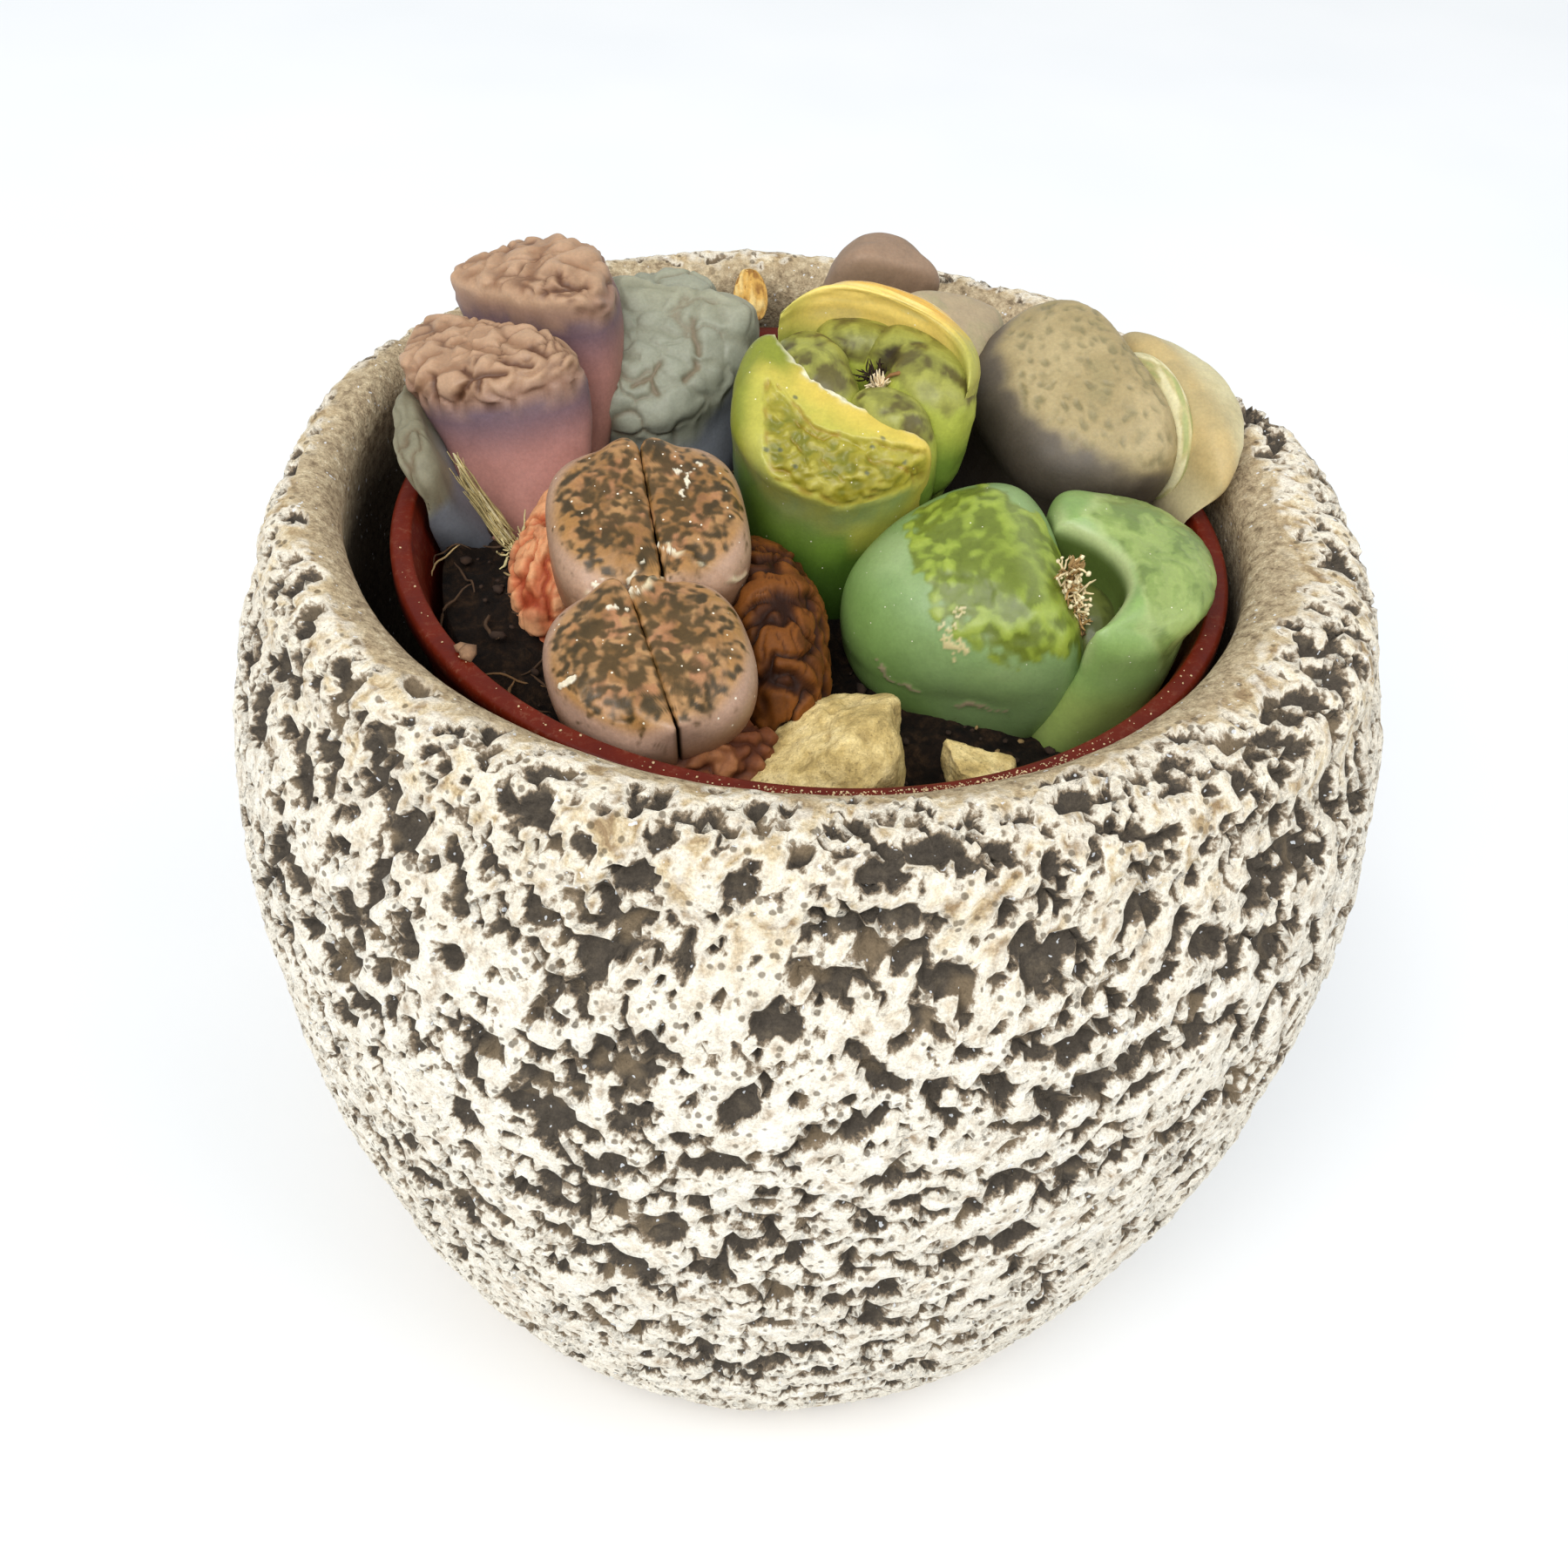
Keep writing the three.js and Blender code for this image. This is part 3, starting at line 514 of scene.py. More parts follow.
def stone_pot():
    """Casting pits: round bubbles of three sizes strewn through bent space, each cut where
    (its radius - distance to its centre) is above 0, so they run into one another in lobes.
    Each has a raised rim. Towards the circle of the mouth they shrink away, so the lip has a
    smooth band, and so has the foot, which is as narrow as the mouth."""
    rings, across_lip = stone_rings()
    height = rings[..., 2]
    bent = drifted(drifted(rings, 5.0, 0.8, salt=3), 1.0, 0.34, salt=7)
    pit = np.full(height.shape, -9.0)
    for size, widest, salt in BUBBLES:
        near, _, tag = cells(bent, size, salt)
        pit = np.maximum(pit, (widest * tag - 0.02 - near) * size)
    from_mouth = np.linalg.norm(rings[..., :2] - MOUTH_CENTRE, axis=-1) - MOUTH_RADIUS
    band = 1.0 + 1.1 * np.abs(rings[..., 0] - MOUTH_CENTRE[0]) / MOUTH_RADIUS
    band = band + 0.7 * clouds(rings, 3, 2, salt=23)
    pit -= 0.26 * ease(band + 3.0, band, from_mouth)
    pit -= 1.5 * ease(band + 0.5, band - 0.7, from_mouth)
    pit = np.where(across_lip < 1, pit - 0.8 * ease(1.5, 0, height), -0.9)
    lipped = ease(band + 1.2, band - 0.6, from_mouth)
    depth = 0.9 * ease(-0.06, 0.32, pit) + 0.2 * ease(0.3, 1.0, pit)
    swell = 0.30 * clouds(rings, 11, 2, salt=41) + 0.12 * clouds(rings, 1.6, 3, salt=43)
    rim = 0.16 * np.exp(-(((pit + 0.16) / 0.2) ** 2)) * (1 - lipped)
    fade = np.where(across_lip < 1, ease(1.0, 0.9, across_lip), 0.0) * ease(0.0, 2.0, height)
    skin = pushed(rings, fade * (swell * (1 - 0.7 * lipped) + rim - depth))
    skin[0] = rings[0]
    marks = {"pit": pit, "lip": np.clip(lipped, 0, 1), "lime": ease(68, 56, height)}
    # painted shade: how dark the hollow inside the mouth is painted, more the deeper it lies
    marks["deep"] = 0.85 * ease(0.6, 3.5, MOUTH_HEIGHT - height) * (across_lip >= 1)
    make_skin("stone_pot_pitted", skin, stone_finish(), ["stone_pot"], marks)


# ---- nursery pot -------------------------------------------------------------------------

LINER_LOW, LINER_HIGH = box_mm("nursery_pot")
LINER_CENTRE = 0.5 * (LINER_LOW + LINER_HIGH)[:2]
RIM_TOP = LINER_HIGH[2]
RIM_RADIUS = 0.5 * (LINER_HIGH[0] - LINER_LOW[0])
RIM_INNER, RIM_DROP = 26.1, 1.4
WALL_TOP, WALL_BOTTOM, WALL = 26.6, 19.6, 0.9
WALL_FOOT, WALL_HEAD = 15.0, RIM_TOP - RIM_DROP
GAP = 0.3


def round_liner(radius, bearing):
    """x and y of places at a radius and a bearing from the nursery pot's axis."""
    return (
        LINER_CENTRE[0] + radius * np.cos(bearing), LINER_CENTRE[1] + radius * np.sin(bearing)
    )


def liner_inside(height):
    """Inner radius of the nursery pot at a height: its wall tapers evenly."""
    share = np.minimum(1, (height - WALL_FOOT) / (WALL_HEAD - WALL_FOOT))
    return WALL_BOTTOM + (WALL_TOP - WALL_BOTTOM) * share - WALL


def plastic_finish():
    """Red-brown moulded plastic with a fine moulded grain, dull scuffs and a film of dust."""
    made = Finish("nursery_plastic", Roughness=0.5, Specular_IOR_Level=0.2)
    cloud = made.noise(3.0, 4, 0.6, 0.4)
    grains = made.spread(made.noise(0.5, 5, 0.75), 0.52, 0.72)
    dust = made.math("MULTIPLY", grains, made.spread(cloud, 0.42, 0.62))
    base = made.ramp(cloud, (0.3, "561204"), (0.7, "691c06"))
    colour = made.mix(made.math("MULTIPLY", dust, 0.25), base, "b58a6c")
    return made.wear(
        Base_Color=colour, Roughness=made.spread(cloud, 0.3, 0.7, 0.34, 0.55),
        Normal=made.bump(made.noise(0.25, 3, 0.6), 0.02),
    )


def nursery_pot(around=288):
    """The thin pot turned round its own axis: up the outside, over the flange with rounded
    edges and down the inside, its rim a touch out of round."""
    inside = liner_inside(WALL_HEAD)
    flange = [(RIM_RADIUS, WALL_HEAD), (RIM_RADIUS, RIM_TOP - 0.45)]
    arc = np.linspace(0, np.pi / 2, 5)
    flange += [(RIM_RADIUS - 0.4 + 0.4 * np.cos(a), RIM_TOP - 0.4 + 0.4 * np.sin(a)) for a in arc]
    flange += [
        (RIM_INNER + 0.25 - 0.25 * np.sin(a), RIM_TOP - 0.25 + 0.25 * np.cos(a)) for a in arc
    ]
    flange += [(RIM_INNER - 0.1, RIM_TOP - 0.6), (inside, WALL_HEAD)]
    flange += [(inside - 0.03, WALL_HEAD - 0.4)]
    down = np.linspace(WALL_HEAD - 2, WALL_FOOT, 10)
    profile = np.array(
        [(WALL_BOTTOM, WALL_FOOT - 1.2), (WALL_TOP, WALL_HEAD - 0.2), (WALL_TOP + 0.1, WALL_HEAD)]
        + flange + [(liner_inside(h), h) for h in down]
    )
    bearing = all_round(around)
    wobble = 1 + 0.002 * np.sin(2 * bearing + 1) + 0.0012 * np.sin(5 * bearing)
    radius = profile[:, :1] * wobble
    height = np.broadcast_to(profile[:, 1:], radius.shape)
    rings = np.stack([*round_liner(radius, bearing), height], -1)
    make_skin("nursery_pot_moulded", rings, plastic_finish(), ["nursery_pot"])


# ---- soil --------------------------------------------------------------------------------

SOIL_LEVEL, SOIL_MOUND, SOIL_BANK = 57.6, 1.4, 4.4


def soil_finish():
    """Dark potting soil: nearly black between the crumbs and brown on them."""
    made = Finish("potting_soil", Roughness=0.95, Specular_IOR_Level=0.2)
    crumb = made.noise(1.3, 5, 0.7, 0.3)
    colour = made.ramp(crumb, (0.35, "0a0705"), (0.52, "1f150d"), (0.66, "3a291a"), (0.8, "5d462e"))
    return made.wear(Base_Color=colour, Normal=made.bump(made.noise(0.35, 5, 0.75), 0.25))


def soil_height(x, y):
    """Height of the soil: a low mound, banked up on the left, with a slow unevenness."""
    edge = liner_inside(SOIL_LEVEL) - GAP
    share = np.hypot(x - LINER_CENTRE[0], y - LINER_CENTRE[1]) / edge
    banked = SOIL_BANK * ease(-9, -20, x) * ease(-30, -19, y)
    wave = 0.5 * np.sin(0.42 * x + 1) * np.cos(0.37 * y)
    return SOIL_LEVEL + SOIL_MOUND * (1 - share**2) + banked + wave


def soil_body(around=186, rows=72):
    """The soil's skin: straight up the pot's wall, then inwards over a crumbly top."""
    edge = liner_inside(SOIL_LEVEL) - 0.5 * GAP
    share = np.concatenate([[0.82, 1.0], np.linspace(0.995, 0.01, rows)])[:, None]
    x, y = round_liner(share * edge, all_round(around))
    z = soil_height(x, y)
    z[0], z[1] = WALL_FOOT + GAP, SOIL_LEVEL - 0.6
    rings = np.stack([x, y, z], -1)
    near, _, tag = cells(drifted(rings, 2, 0.5, 7), 1.5, salt=61)
    lumps = 0.9 * (0.75 - near) * (0.4 + tag) + 0.4 * clouds(rings, 3.2, 4, salt=65, rough=0.65)
    rings[2:, :, 2] += lumps[2:]
    make_skin("soil_crumbly", rings, soil_finish(), ["soil"])


# ---- leaves ------------------------------------------------------------------------------

COLLAR_HEIGHT = 55.6  # where every leaf starts from its root
FISSURE = 0.04  # half of the width of a closed fissure
RIM_SLOPE = 1.25  # how fast a leaf spreads again above a rim
BITE, SOFT = 36, 0.45  # how suddenly a rim limits a leaf, outwards and upwards
HALVINGS = 30
LIP_TAPER = 1.6  # how soon a gaping fissure's push dies out across its leaf
FINE_STEPS = 400  # for measuring the crown's curve
STEM_REACH = 0.35  # share of a stem's length over which its ends stay straight


def leaning(tilt, toward, turn):
    """A leaf's axes: its normal leans by `tilt` towards a bearing, `along` is the horizontal
    bearing `turn` made square to the normal, and `away` is square to both."""
    lean, bearing, heading = np.radians([tilt, toward, turn])
    normal = np.array([
        np.sin(lean) * np.cos(bearing), np.sin(lean) * np.sin(bearing), np.cos(lean),
    ])
    along = np.array([np.cos(heading), np.sin(heading), 0.0])
    along -= (along @ normal) * normal
    along /= np.linalg.norm(along)
    return along, np.cross(normal, along), normal


def press_in(points):
    """Points brought in from the two rims: none lies further from a rim's axis than the rim's
    inner radius less a gap, plus 1.25 times its height over that rim, which sets in softly as
    log(1 + e^h). The limit bites softly too: distance times (1 + (distance / limit)^n)^(-1/n)."""
    points = points.copy()
    rims = (
        (LINER_CENTRE, RIM_TOP + GAP, liner_inside(points[..., 2])),
        (MOUTH_CENTRE, MOUTH_HEIGHT + GAP, MOUTH_RADIUS),
    )
    for centre, top, inside in rims:
        above = np.logaddexp(0, (points[..., 2] - top - GAP) / SOFT) * SOFT
        limit = inside - GAP + RIM_SLOPE * above
        spread = points[..., :2] - centre
        over = np.linalg.norm(spread, axis=-1) / limit
        share = (1 + over**BITE) ** (-1 / BITE)
        points[..., :2] = centre + spread * share[..., None]
    return points


def leaf_outline(half, depth, corner, lean, full, around):
    """Half of an oval closed by the straight fissure. The oval is |u/half|^n + |v/depth|^n = 1,
    and the way to it is found by halving. From the outline's middle, each ray ends at
    1 / (1/to_oval^m + 1/to_fissure^m)^(1/m), where m leans from one end of the fissure to the
    other."""
    middle = 0.5 * (depth + FISSURE)
    turn = all_round(around)
    across, out = np.cos(turn), np.sin(turn)
    near, far = np.zeros(around), np.full(around, 2 * max(half, depth))
    for _ in range(HALVINGS):
        trial = 0.5 * (near + far)
        u, v = trial * across / half, (middle + trial * out) / depth
        inside = np.abs(u) ** full + np.abs(v) ** full < 1
        near, far = np.where(inside, trial, near), np.where(inside, far, trial)
    to_fissure = np.where(out < -1e-3, (FISSURE - middle) / np.minimum(out, -1e-3), np.inf)
    sharp = corner * (1 + lean * across)
    reach = (near**-sharp + to_fissure**-sharp) ** (-1 / sharp)
    return middle, reach * across, middle + reach * out


def leaf_surface(
    face, tilt, toward, turn, half, depth, crown, collar, foot, square=2.5, corner=7, lean=0,
    taper=1, open=0, openAt=0, span=0.92, lips=1.0, full=2.0, edge=7, *, around, side_rows,
    crown_rows,
):
    """A leaf as rings. Up the side, the outline grows from `foot` to full size along a cubic
    Bezier stem. Over the crown it shrinks by `inset` and rises by
    crown * (1 - inset^n)^(1/n), with a sharper n along the fissure. Where the fissure gapes,
    its edge moves in by up to `open` at the top, and down the side by the cube of the height."""
    along, away, normal = leaning(tilt, toward, turn)
    middle, u, v = leaf_outline(half, depth, corner, lean, full, around)
    brim = np.array(face) - crown * normal
    start = np.array([*collar, COLLAR_HEIGHT])
    reach = STEM_REACH * np.linalg.norm(brim - start)
    stem = np.stack([start, start + reach * UP, brim - reach * normal, brim])

    def placed(centre, right, out, scale, inset, gape):
        """Rings of the outline about their centres, and their two shares of its full size."""
        across = middle + inset * (v - middle)
        thin = np.maximum(0, 1 - (across - FISSURE) / (depth - FISSURE)) ** LIP_TAPER
        mouth = np.maximum(0, 1 - ((inset * u - openAt) / (span * half)) ** 2) ** lips
        shifted = across + gape * open * thin * mouth
        spot = centre + right * (scale * inset * u)[..., None] + out * (scale * shifted)[..., None]
        return spot, inset * u / half, across / depth

    share = np.linspace(0, 1, side_rows)[:, None]
    weight = np.concatenate(
        [(1 - share) ** 3, 3 * share * (1 - share) ** 2, 3 * share**2 * (1 - share), share**3], 1
    )
    axis = UP + (normal - UP) * share
    axis /= np.linalg.norm(axis, axis=1, keepdims=True)
    right = along - (axis @ along)[:, None] * axis
    right /= np.linalg.norm(right, axis=1, keepdims=True)
    out = np.cross(axis, right)
    scale = foot + (1 - foot) * np.sin(share * np.pi / 2) ** taper
    side = placed(
        (weight @ stem)[:, None], right[:, None], out[:, None], scale, np.ones_like(share), share**3
    )
    theta = np.linspace(0, np.pi / 2, FINE_STEPS)
    inset, rise = np.cos(theta) ** (2 / square), crown * np.sin(theta) ** (2 / square)
    length = np.cumsum(np.hypot(np.gradient(inset) * 0.5 * (half + depth), np.gradient(rise)))
    inset = np.interp(np.linspace(0, length[-1], crown_rows + 2)[1:-1], length, inset)[:, None]
    on_fissure = np.clip((middle - v) / (middle - FISSURE), 0, 1) ** 3
    power = square + (edge - square) * on_fissure
    height = crown * (1 - inset**power) ** (1 / power)
    top = placed(brim + normal * height[..., None], along, away, 1, inset, 1)
    rings, u_share, v_share = (np.concatenate(pair) for pair in zip(side, top))
    level = np.concatenate([share - 1, height.max(1, keepdims=True) / crown]) * np.ones(around)
    outer = np.hypot(u_share, v_share)
    local = np.stack([u_share * half, v_share * depth, level * crown], -1)
    steps = np.linalg.norm(np.diff(rings, axis=0), axis=-1).mean(1)
    down = np.append(np.cumsum(steps[::-1])[::-1], 0)
    stretch = (down / down[side_rows - 1])[:, None]
    flat = np.stack([u * stretch, middle + (v - middle) * stretch], -1)
    return SimpleNamespace(
        rings=press_in(rings), u=u_share, v=v_share, outer=outer, local=local, flat=flat,
        below=-((rings - np.array(face)) @ normal),
    )


def lobe_surface(centre, size, turn, tilt=0, toward=0, square=2, around=92, rows=52):
    """A rounded lump: an ellipsoid whose cross-sections are flattened by the power
    2 / square, from its lower end to its upper."""
    along, away, normal = leaning(tilt, toward, turn)
    bearing = all_round(around)
    height = np.linspace(-np.pi / 2, np.pi / 2, rows + 2)[1:-1, None]
    girth = np.cos(height) ** (2 / square)
    rise = np.sign(height) * np.abs(np.sin(height)) ** (2 / square)
    u, v, w = girth * np.cos(bearing), girth * np.sin(bearing), rise * np.ones(around)
    a, b, c = size
    rings = (
        np.array(centre) + (a * u)[..., None] * along + (b * v)[..., None] * away
        + (c * w)[..., None] * normal
    )
    return SimpleNamespace(rings=press_in(rings), local=np.stack([a * u, b * v, c * w], -1))


def furrows(local, size, salt, stretch, bend):
    """How near each point is to the border between two strewn cells, from 0 to about 1: the
    second nearest distance less the nearest, on a bent and stretched copy of the place."""
    near, second, _ = cells(drifted(local, 2.2, bend, salt + 50) / np.array(stretch), size, salt)
    return second - near


BROWN_UPPER = dict(face=(-10.9, -7.0, 71.2), tilt=14, toward=-90, crown=2.7, square=2.7,
                   collar=(-10.5, -4.2), foot=0.5, taper=1.5, corner=20, full=3.0)
BROWN_LOWER = dict(face=(-9.7, -17.6, 68.5), tilt=17, toward=-98, crown=2.8, square=2.6,
                   collar=(-9.4, -13.6), foot=0.42, taper=2.2, corner=20, full=2.6)
BROWN = {
    "brown_upper_leaf_right": dict(BROWN_UPPER, turn=-76, half=6.3, depth=6.1, lean=0.75),
    "brown_upper_leaf_left": dict(BROWN_UPPER, turn=104, half=6.5, depth=6.4, lean=-0.75),
    "brown_lower_leaf_right": dict(BROWN_LOWER, turn=-69, half=5.9, depth=6.1, lean=0.75),
    "brown_lower_leaf_left": dict(BROWN_LOWER, turn=111, half=6.1, depth=6.2, lean=-0.75),
}
PINK = {
    "pink_leaf_near": dict(face=(-23.3, 10.7, 73.7), tilt=14, toward=185, turn=152, half=8.5,
                           depth=7.8, crown=2.4, square=3.0, collar=(-20.0, 1.2), foot=0.28,
                           taper=1.8, corner=3.4),
    "pink_leaf_far": dict(face=(-23.5, 11.5, 75.6), tilt=14, toward=200, turn=-28, half=7.1,
                          depth=8.5, crown=3.0, square=2.6, collar=(-19.0, 6.0), foot=0.3,
                          taper=2.2, corner=3.2),
}
SLATE = {
    "slate_leaf_near": dict(face=(-13.0, 18.2, 73.9), tilt=30, toward=-97, turn=172, half=7.4,
                            depth=12.0, crown=2.8, square=2.4, collar=(-13.4, 12.8), foot=0.74),
    "slate_leaf_far": dict(face=(-12.6, 18.6, 72.0), tilt=14, toward=-90, turn=-8, half=4.3,
                           depth=4.8, crown=2.2, square=2.4, collar=(-11.5, 14.8), foot=0.6),
    "small_slate_leaf_outer": dict(face=(-27.6, 3.4, 70.2), tilt=24, toward=215, turn=112,
                                   half=6.0, depth=8.4, crown=3.4, square=2.3,
                                   collar=(-20.2, 5.0), foot=0.42, taper=1.3, corner=4),
    "small_slate_leaf_inner": dict(face=(-24.6, 6.6, 62.8), tilt=10, toward=200, turn=-45,
                                   half=3.8, depth=2.8, crown=1.8, square=2.3,
                                   collar=(-20.8, 6.6), foot=0.32, taper=1.7),
}
YELLOW_FRONT = dict(face=(1.2, 4.2, 75.8), tilt=27, toward=-100, turn=146, half=7.7, depth=9.5,
                    crown=2.4, square=3, collar=(0.2, 4.0), foot=0.55, corner=4, open=2.3,
                    openAt=-1.0, lips=0.6)
YELLOW_BACK = dict(face=(1.2, 4.9, 76.8), tilt=12, toward=-100, turn=-32, half=7.4, depth=7.6,
                   crown=2.8, square=3, collar=(0.5, 4.4), foot=0.55, open=5.2,
                   openAt=0.2, corner=6, lips=0.45, span=0.94)
GREEN_LEFT = dict(face=(14.5, -5.6, 71.6), tilt=22, toward=-125, turn=99, half=8.3, depth=14.8,
                  crown=6.3, square=2.2, collar=(14.6, -3.6), foot=0.6, corner=4.2, lean=-0.4)
GREEN_RIGHT = dict(face=(15.0, -5.6, 70.6), tilt=6, toward=-40, turn=-81, half=8.0, depth=10.9,
                   crown=3.6, square=2.2, collar=(13.6, -4.6), foot=0.84, taper=0.7, open=3.6,
                   openAt=2.2, corner=4.6, lean=0.2, lips=0.7, full=2.5, span=0.58)
TAN = {
    "tan_leaf_near": dict(face=(20.2, 12.4, 75.4), tilt=26, toward=-120, turn=115, half=8.8,
                          depth=12, crown=4.2, square=2.6, collar=(14.4, 13.0), foot=0.6,
                          corner=3.0, full=2.9),
    "tan_leaf_far": dict(face=(22.6, 10.8, 73.0), tilt=12, toward=-30, turn=-65, half=8.8,
                         depth=7.0, crown=4, square=2.4, collar=(16.4, 12.4), foot=0.6,
                         corner=4),
}
MAUVE = {
    "mauve_leaf_far": dict(face=(4.2, 20.9, 75.0), tilt=20, toward=-15, turn=15, half=4.5,
                           depth=5.6, crown=3.4, square=2.2, collar=(4.0, 17.2), foot=0.5,
                           corner=3),
    "mauve_leaf_near": dict(face=(7.6, 20.0, 74.1), tilt=20, toward=-20, turn=200, half=5.0,
                            depth=7.2, crown=2.8, square=2.4, collar=(4.4, 17.0), foot=0.5,
                            corner=3),
}


def from_line(places, start, end):
    """Distance from each place to the straight line between two points."""
    way = end - start
    share = np.clip((places - start) @ way / (way @ way), 0, 1)
    return np.linalg.norm(places - start - share[..., None] * way, axis=-1)


def drawn(places, lines, width):
    """1 on listed lines and exp(-(distance / width)^2) beside them."""
    nearest = np.full(places.shape[:-1], FAR)
    for line in lines:
        for start, end in zip(np.array(line[:-1], float), np.array(line[1:], float)):
            nearest = np.minimum(nearest, from_line(places, start, end))
    return np.exp(-((nearest / width) ** 2))


def wandering(leaf, size=1.1, amount=0.16, salt=5):
    """The skin's flat places moved a little by noise, so drawn lines are not straight."""
    skin = leaf.rings
    drift = np.stack([clouds(skin, size, 3, salt), clouds(skin, size, 3, salt + 40)], -1)
    return leaf.flat + amount * drift


FLAKES = {  # white skin left on the brown faces
    "brown_upper_leaf_right": [
        [(-2.0, 3.3), (-1.3, 2.8), (-0.6, 2.6), (0.2, 2.3)], [(-1.3, 2.8), (-1.7, 2.2)],
        [(2.5, 0.8), (3.0, 1.6)], [(-3.9, 0.5), (-3.2, 0.2)]],
    "brown_upper_leaf_left": [
        [(-4.0, 2.4), (-3.3, 1.7)], [(-3.9, 4.0), (-3.6, 3.6), (-4.0, 3.3)],
        [(2.2, 0.4), (1.4, 0.3)]],
    "brown_lower_leaf_right": [[(-3.6, 0.5), (-2.7, 1.3)]],
    "brown_lower_leaf_left": [[(-0.7, 4.8), (-0.6, 4.2)], [(2.1, 2.1), (1.9, 1.3)]],
}
RIDGES = {  # dried edges that stand up a little
    "brown_upper_leaf_right": [[(2.5, 1.3), (3.1, 1.5), (3.3, 2.5), (3.9, 3.7), (3.7, 4.9)]],
    "brown_upper_leaf_left": [[(-4.8, 5.5), (-4.5, 4.8), (-4.2, 4.0)], [(-4.3, 3.4), (-4.2, 2.4)]],
    "brown_lower_leaf_right": [[(-3.0, 0.5), (-2.7, 1.4), (-3.4, 2.3), (-3.8, 3.2)]],
}


UPPER_SHADE, LOWER_SHADE = (0.92, 0.91, 0.80), (0.97, 0.98, 0.92)  # red, green and blue left


def brown_heads():
    """Flat faces with a dark net where blots of noise rise above a level. The level is low in
    the middle, where the net closes up, and rises to the margin, where it breaks into fingers
    and dots. White flakes and dried edges lie on it."""
    finish = fleshy("brown_leaf_skin", 0.4, 0.12, 0.02, gloss=0.10, inner=0.05, dust_and_glints=0.05)
    for k, (node, spec) in enumerate(BROWN.items()):
        leaf = leaf_surface(**spec, edge=16, crown_rows=58, side_rows=20, around=212)
        skin, below = leaf.rings, leaf.below
        middle = ease(1.0, 0.55, leaf.outer) * ease(-0.05, 0.12, leaf.v + 0.04)
        net = blots(drifted(skin, 0.9, 0.12, 70), 0.43, salt=71 + 9 * k)
        edge = 1.3 * ease(0.86, 1.01, leaf.outer + 0.03 * noise(skin, 0.8, 5))
        level = 0.14 - 0.34 * middle + edge + 2 * ease(1.6, 2.6, below)
        dark, core = ease(level - 0.7, level + 0.55, net), ease(level - 0.15, level + 0.95, net)
        warm, pale = clouds(skin, 1.4, 3, salt=81), clouds(skin, 1.1, 3, salt=87)
        deep = 0.45 + 0.55 * ease(0.45, 0.8, leaf.outer + 0.15 * warm)
        # painted shade: dark down in the fissure between the two leaves
        fissure_shade = ease(0.05, 0.02, leaf.v) * ease(0.25, 0.6, below)
        torn = 0.8 + 0.9 * clouds(skin, 0.4, 2, 97)
        flake = drawn(wandering(leaf, 0.6, 0.12), FLAKES.get(node, []), 0.15)
        flake = ease(0.5, 0.62, flake * torn)
        ridge = drawn(wandering(leaf, 1.4, 0.3), RIDGES.get(node, []), 0.13)
        tint = painted(
            skin, "b3885c",
            ("b08043", 0.75 * ease(-0.2, 0.5, warm) * ease(1.0, 0.8, leaf.outer)),
            ("ab7656", 0.8 * ease(-0.1, 0.6, pale) * middle),
            ("7d5635", 0.6 * middle * ease(-0.4, 0.4, warm - pale)),
            ("b89684", ease(0.88, 1.0, leaf.outer)),
            ("54401f", 0.88 * dark),
            ("33280f", 0.78 * core * deep),
            # painted shade: the side darkens further below the face
            ("9c765e", ease(1.4, 3.2, below)),
            ("6f4a36", ease(2.8, 7, below)),
        )
        tint = tint * (UPPER_SHADE if spec["face"] == BROWN_UPPER["face"] else LOWER_SHADE)
        tint = coated(
            tint,
            # painted shade in the fissure
            ("35240f", fissure_shade),
            ("e6d9b4", 0.8 * ridge * ease(-0.5, 0.3, pale)),
            ("e6dcc2", flake),
        )
        bumps = 0.08 * clouds(skin, 2.4, 3, salt=85) - 0.04 * dark + 0.12 * middle
        move = bumps * ease(2.0, 0.5, below) + 0.08 * flake + 0.14 * ridge
        make_flesh(node, pushed(skin, move), finish, tint)


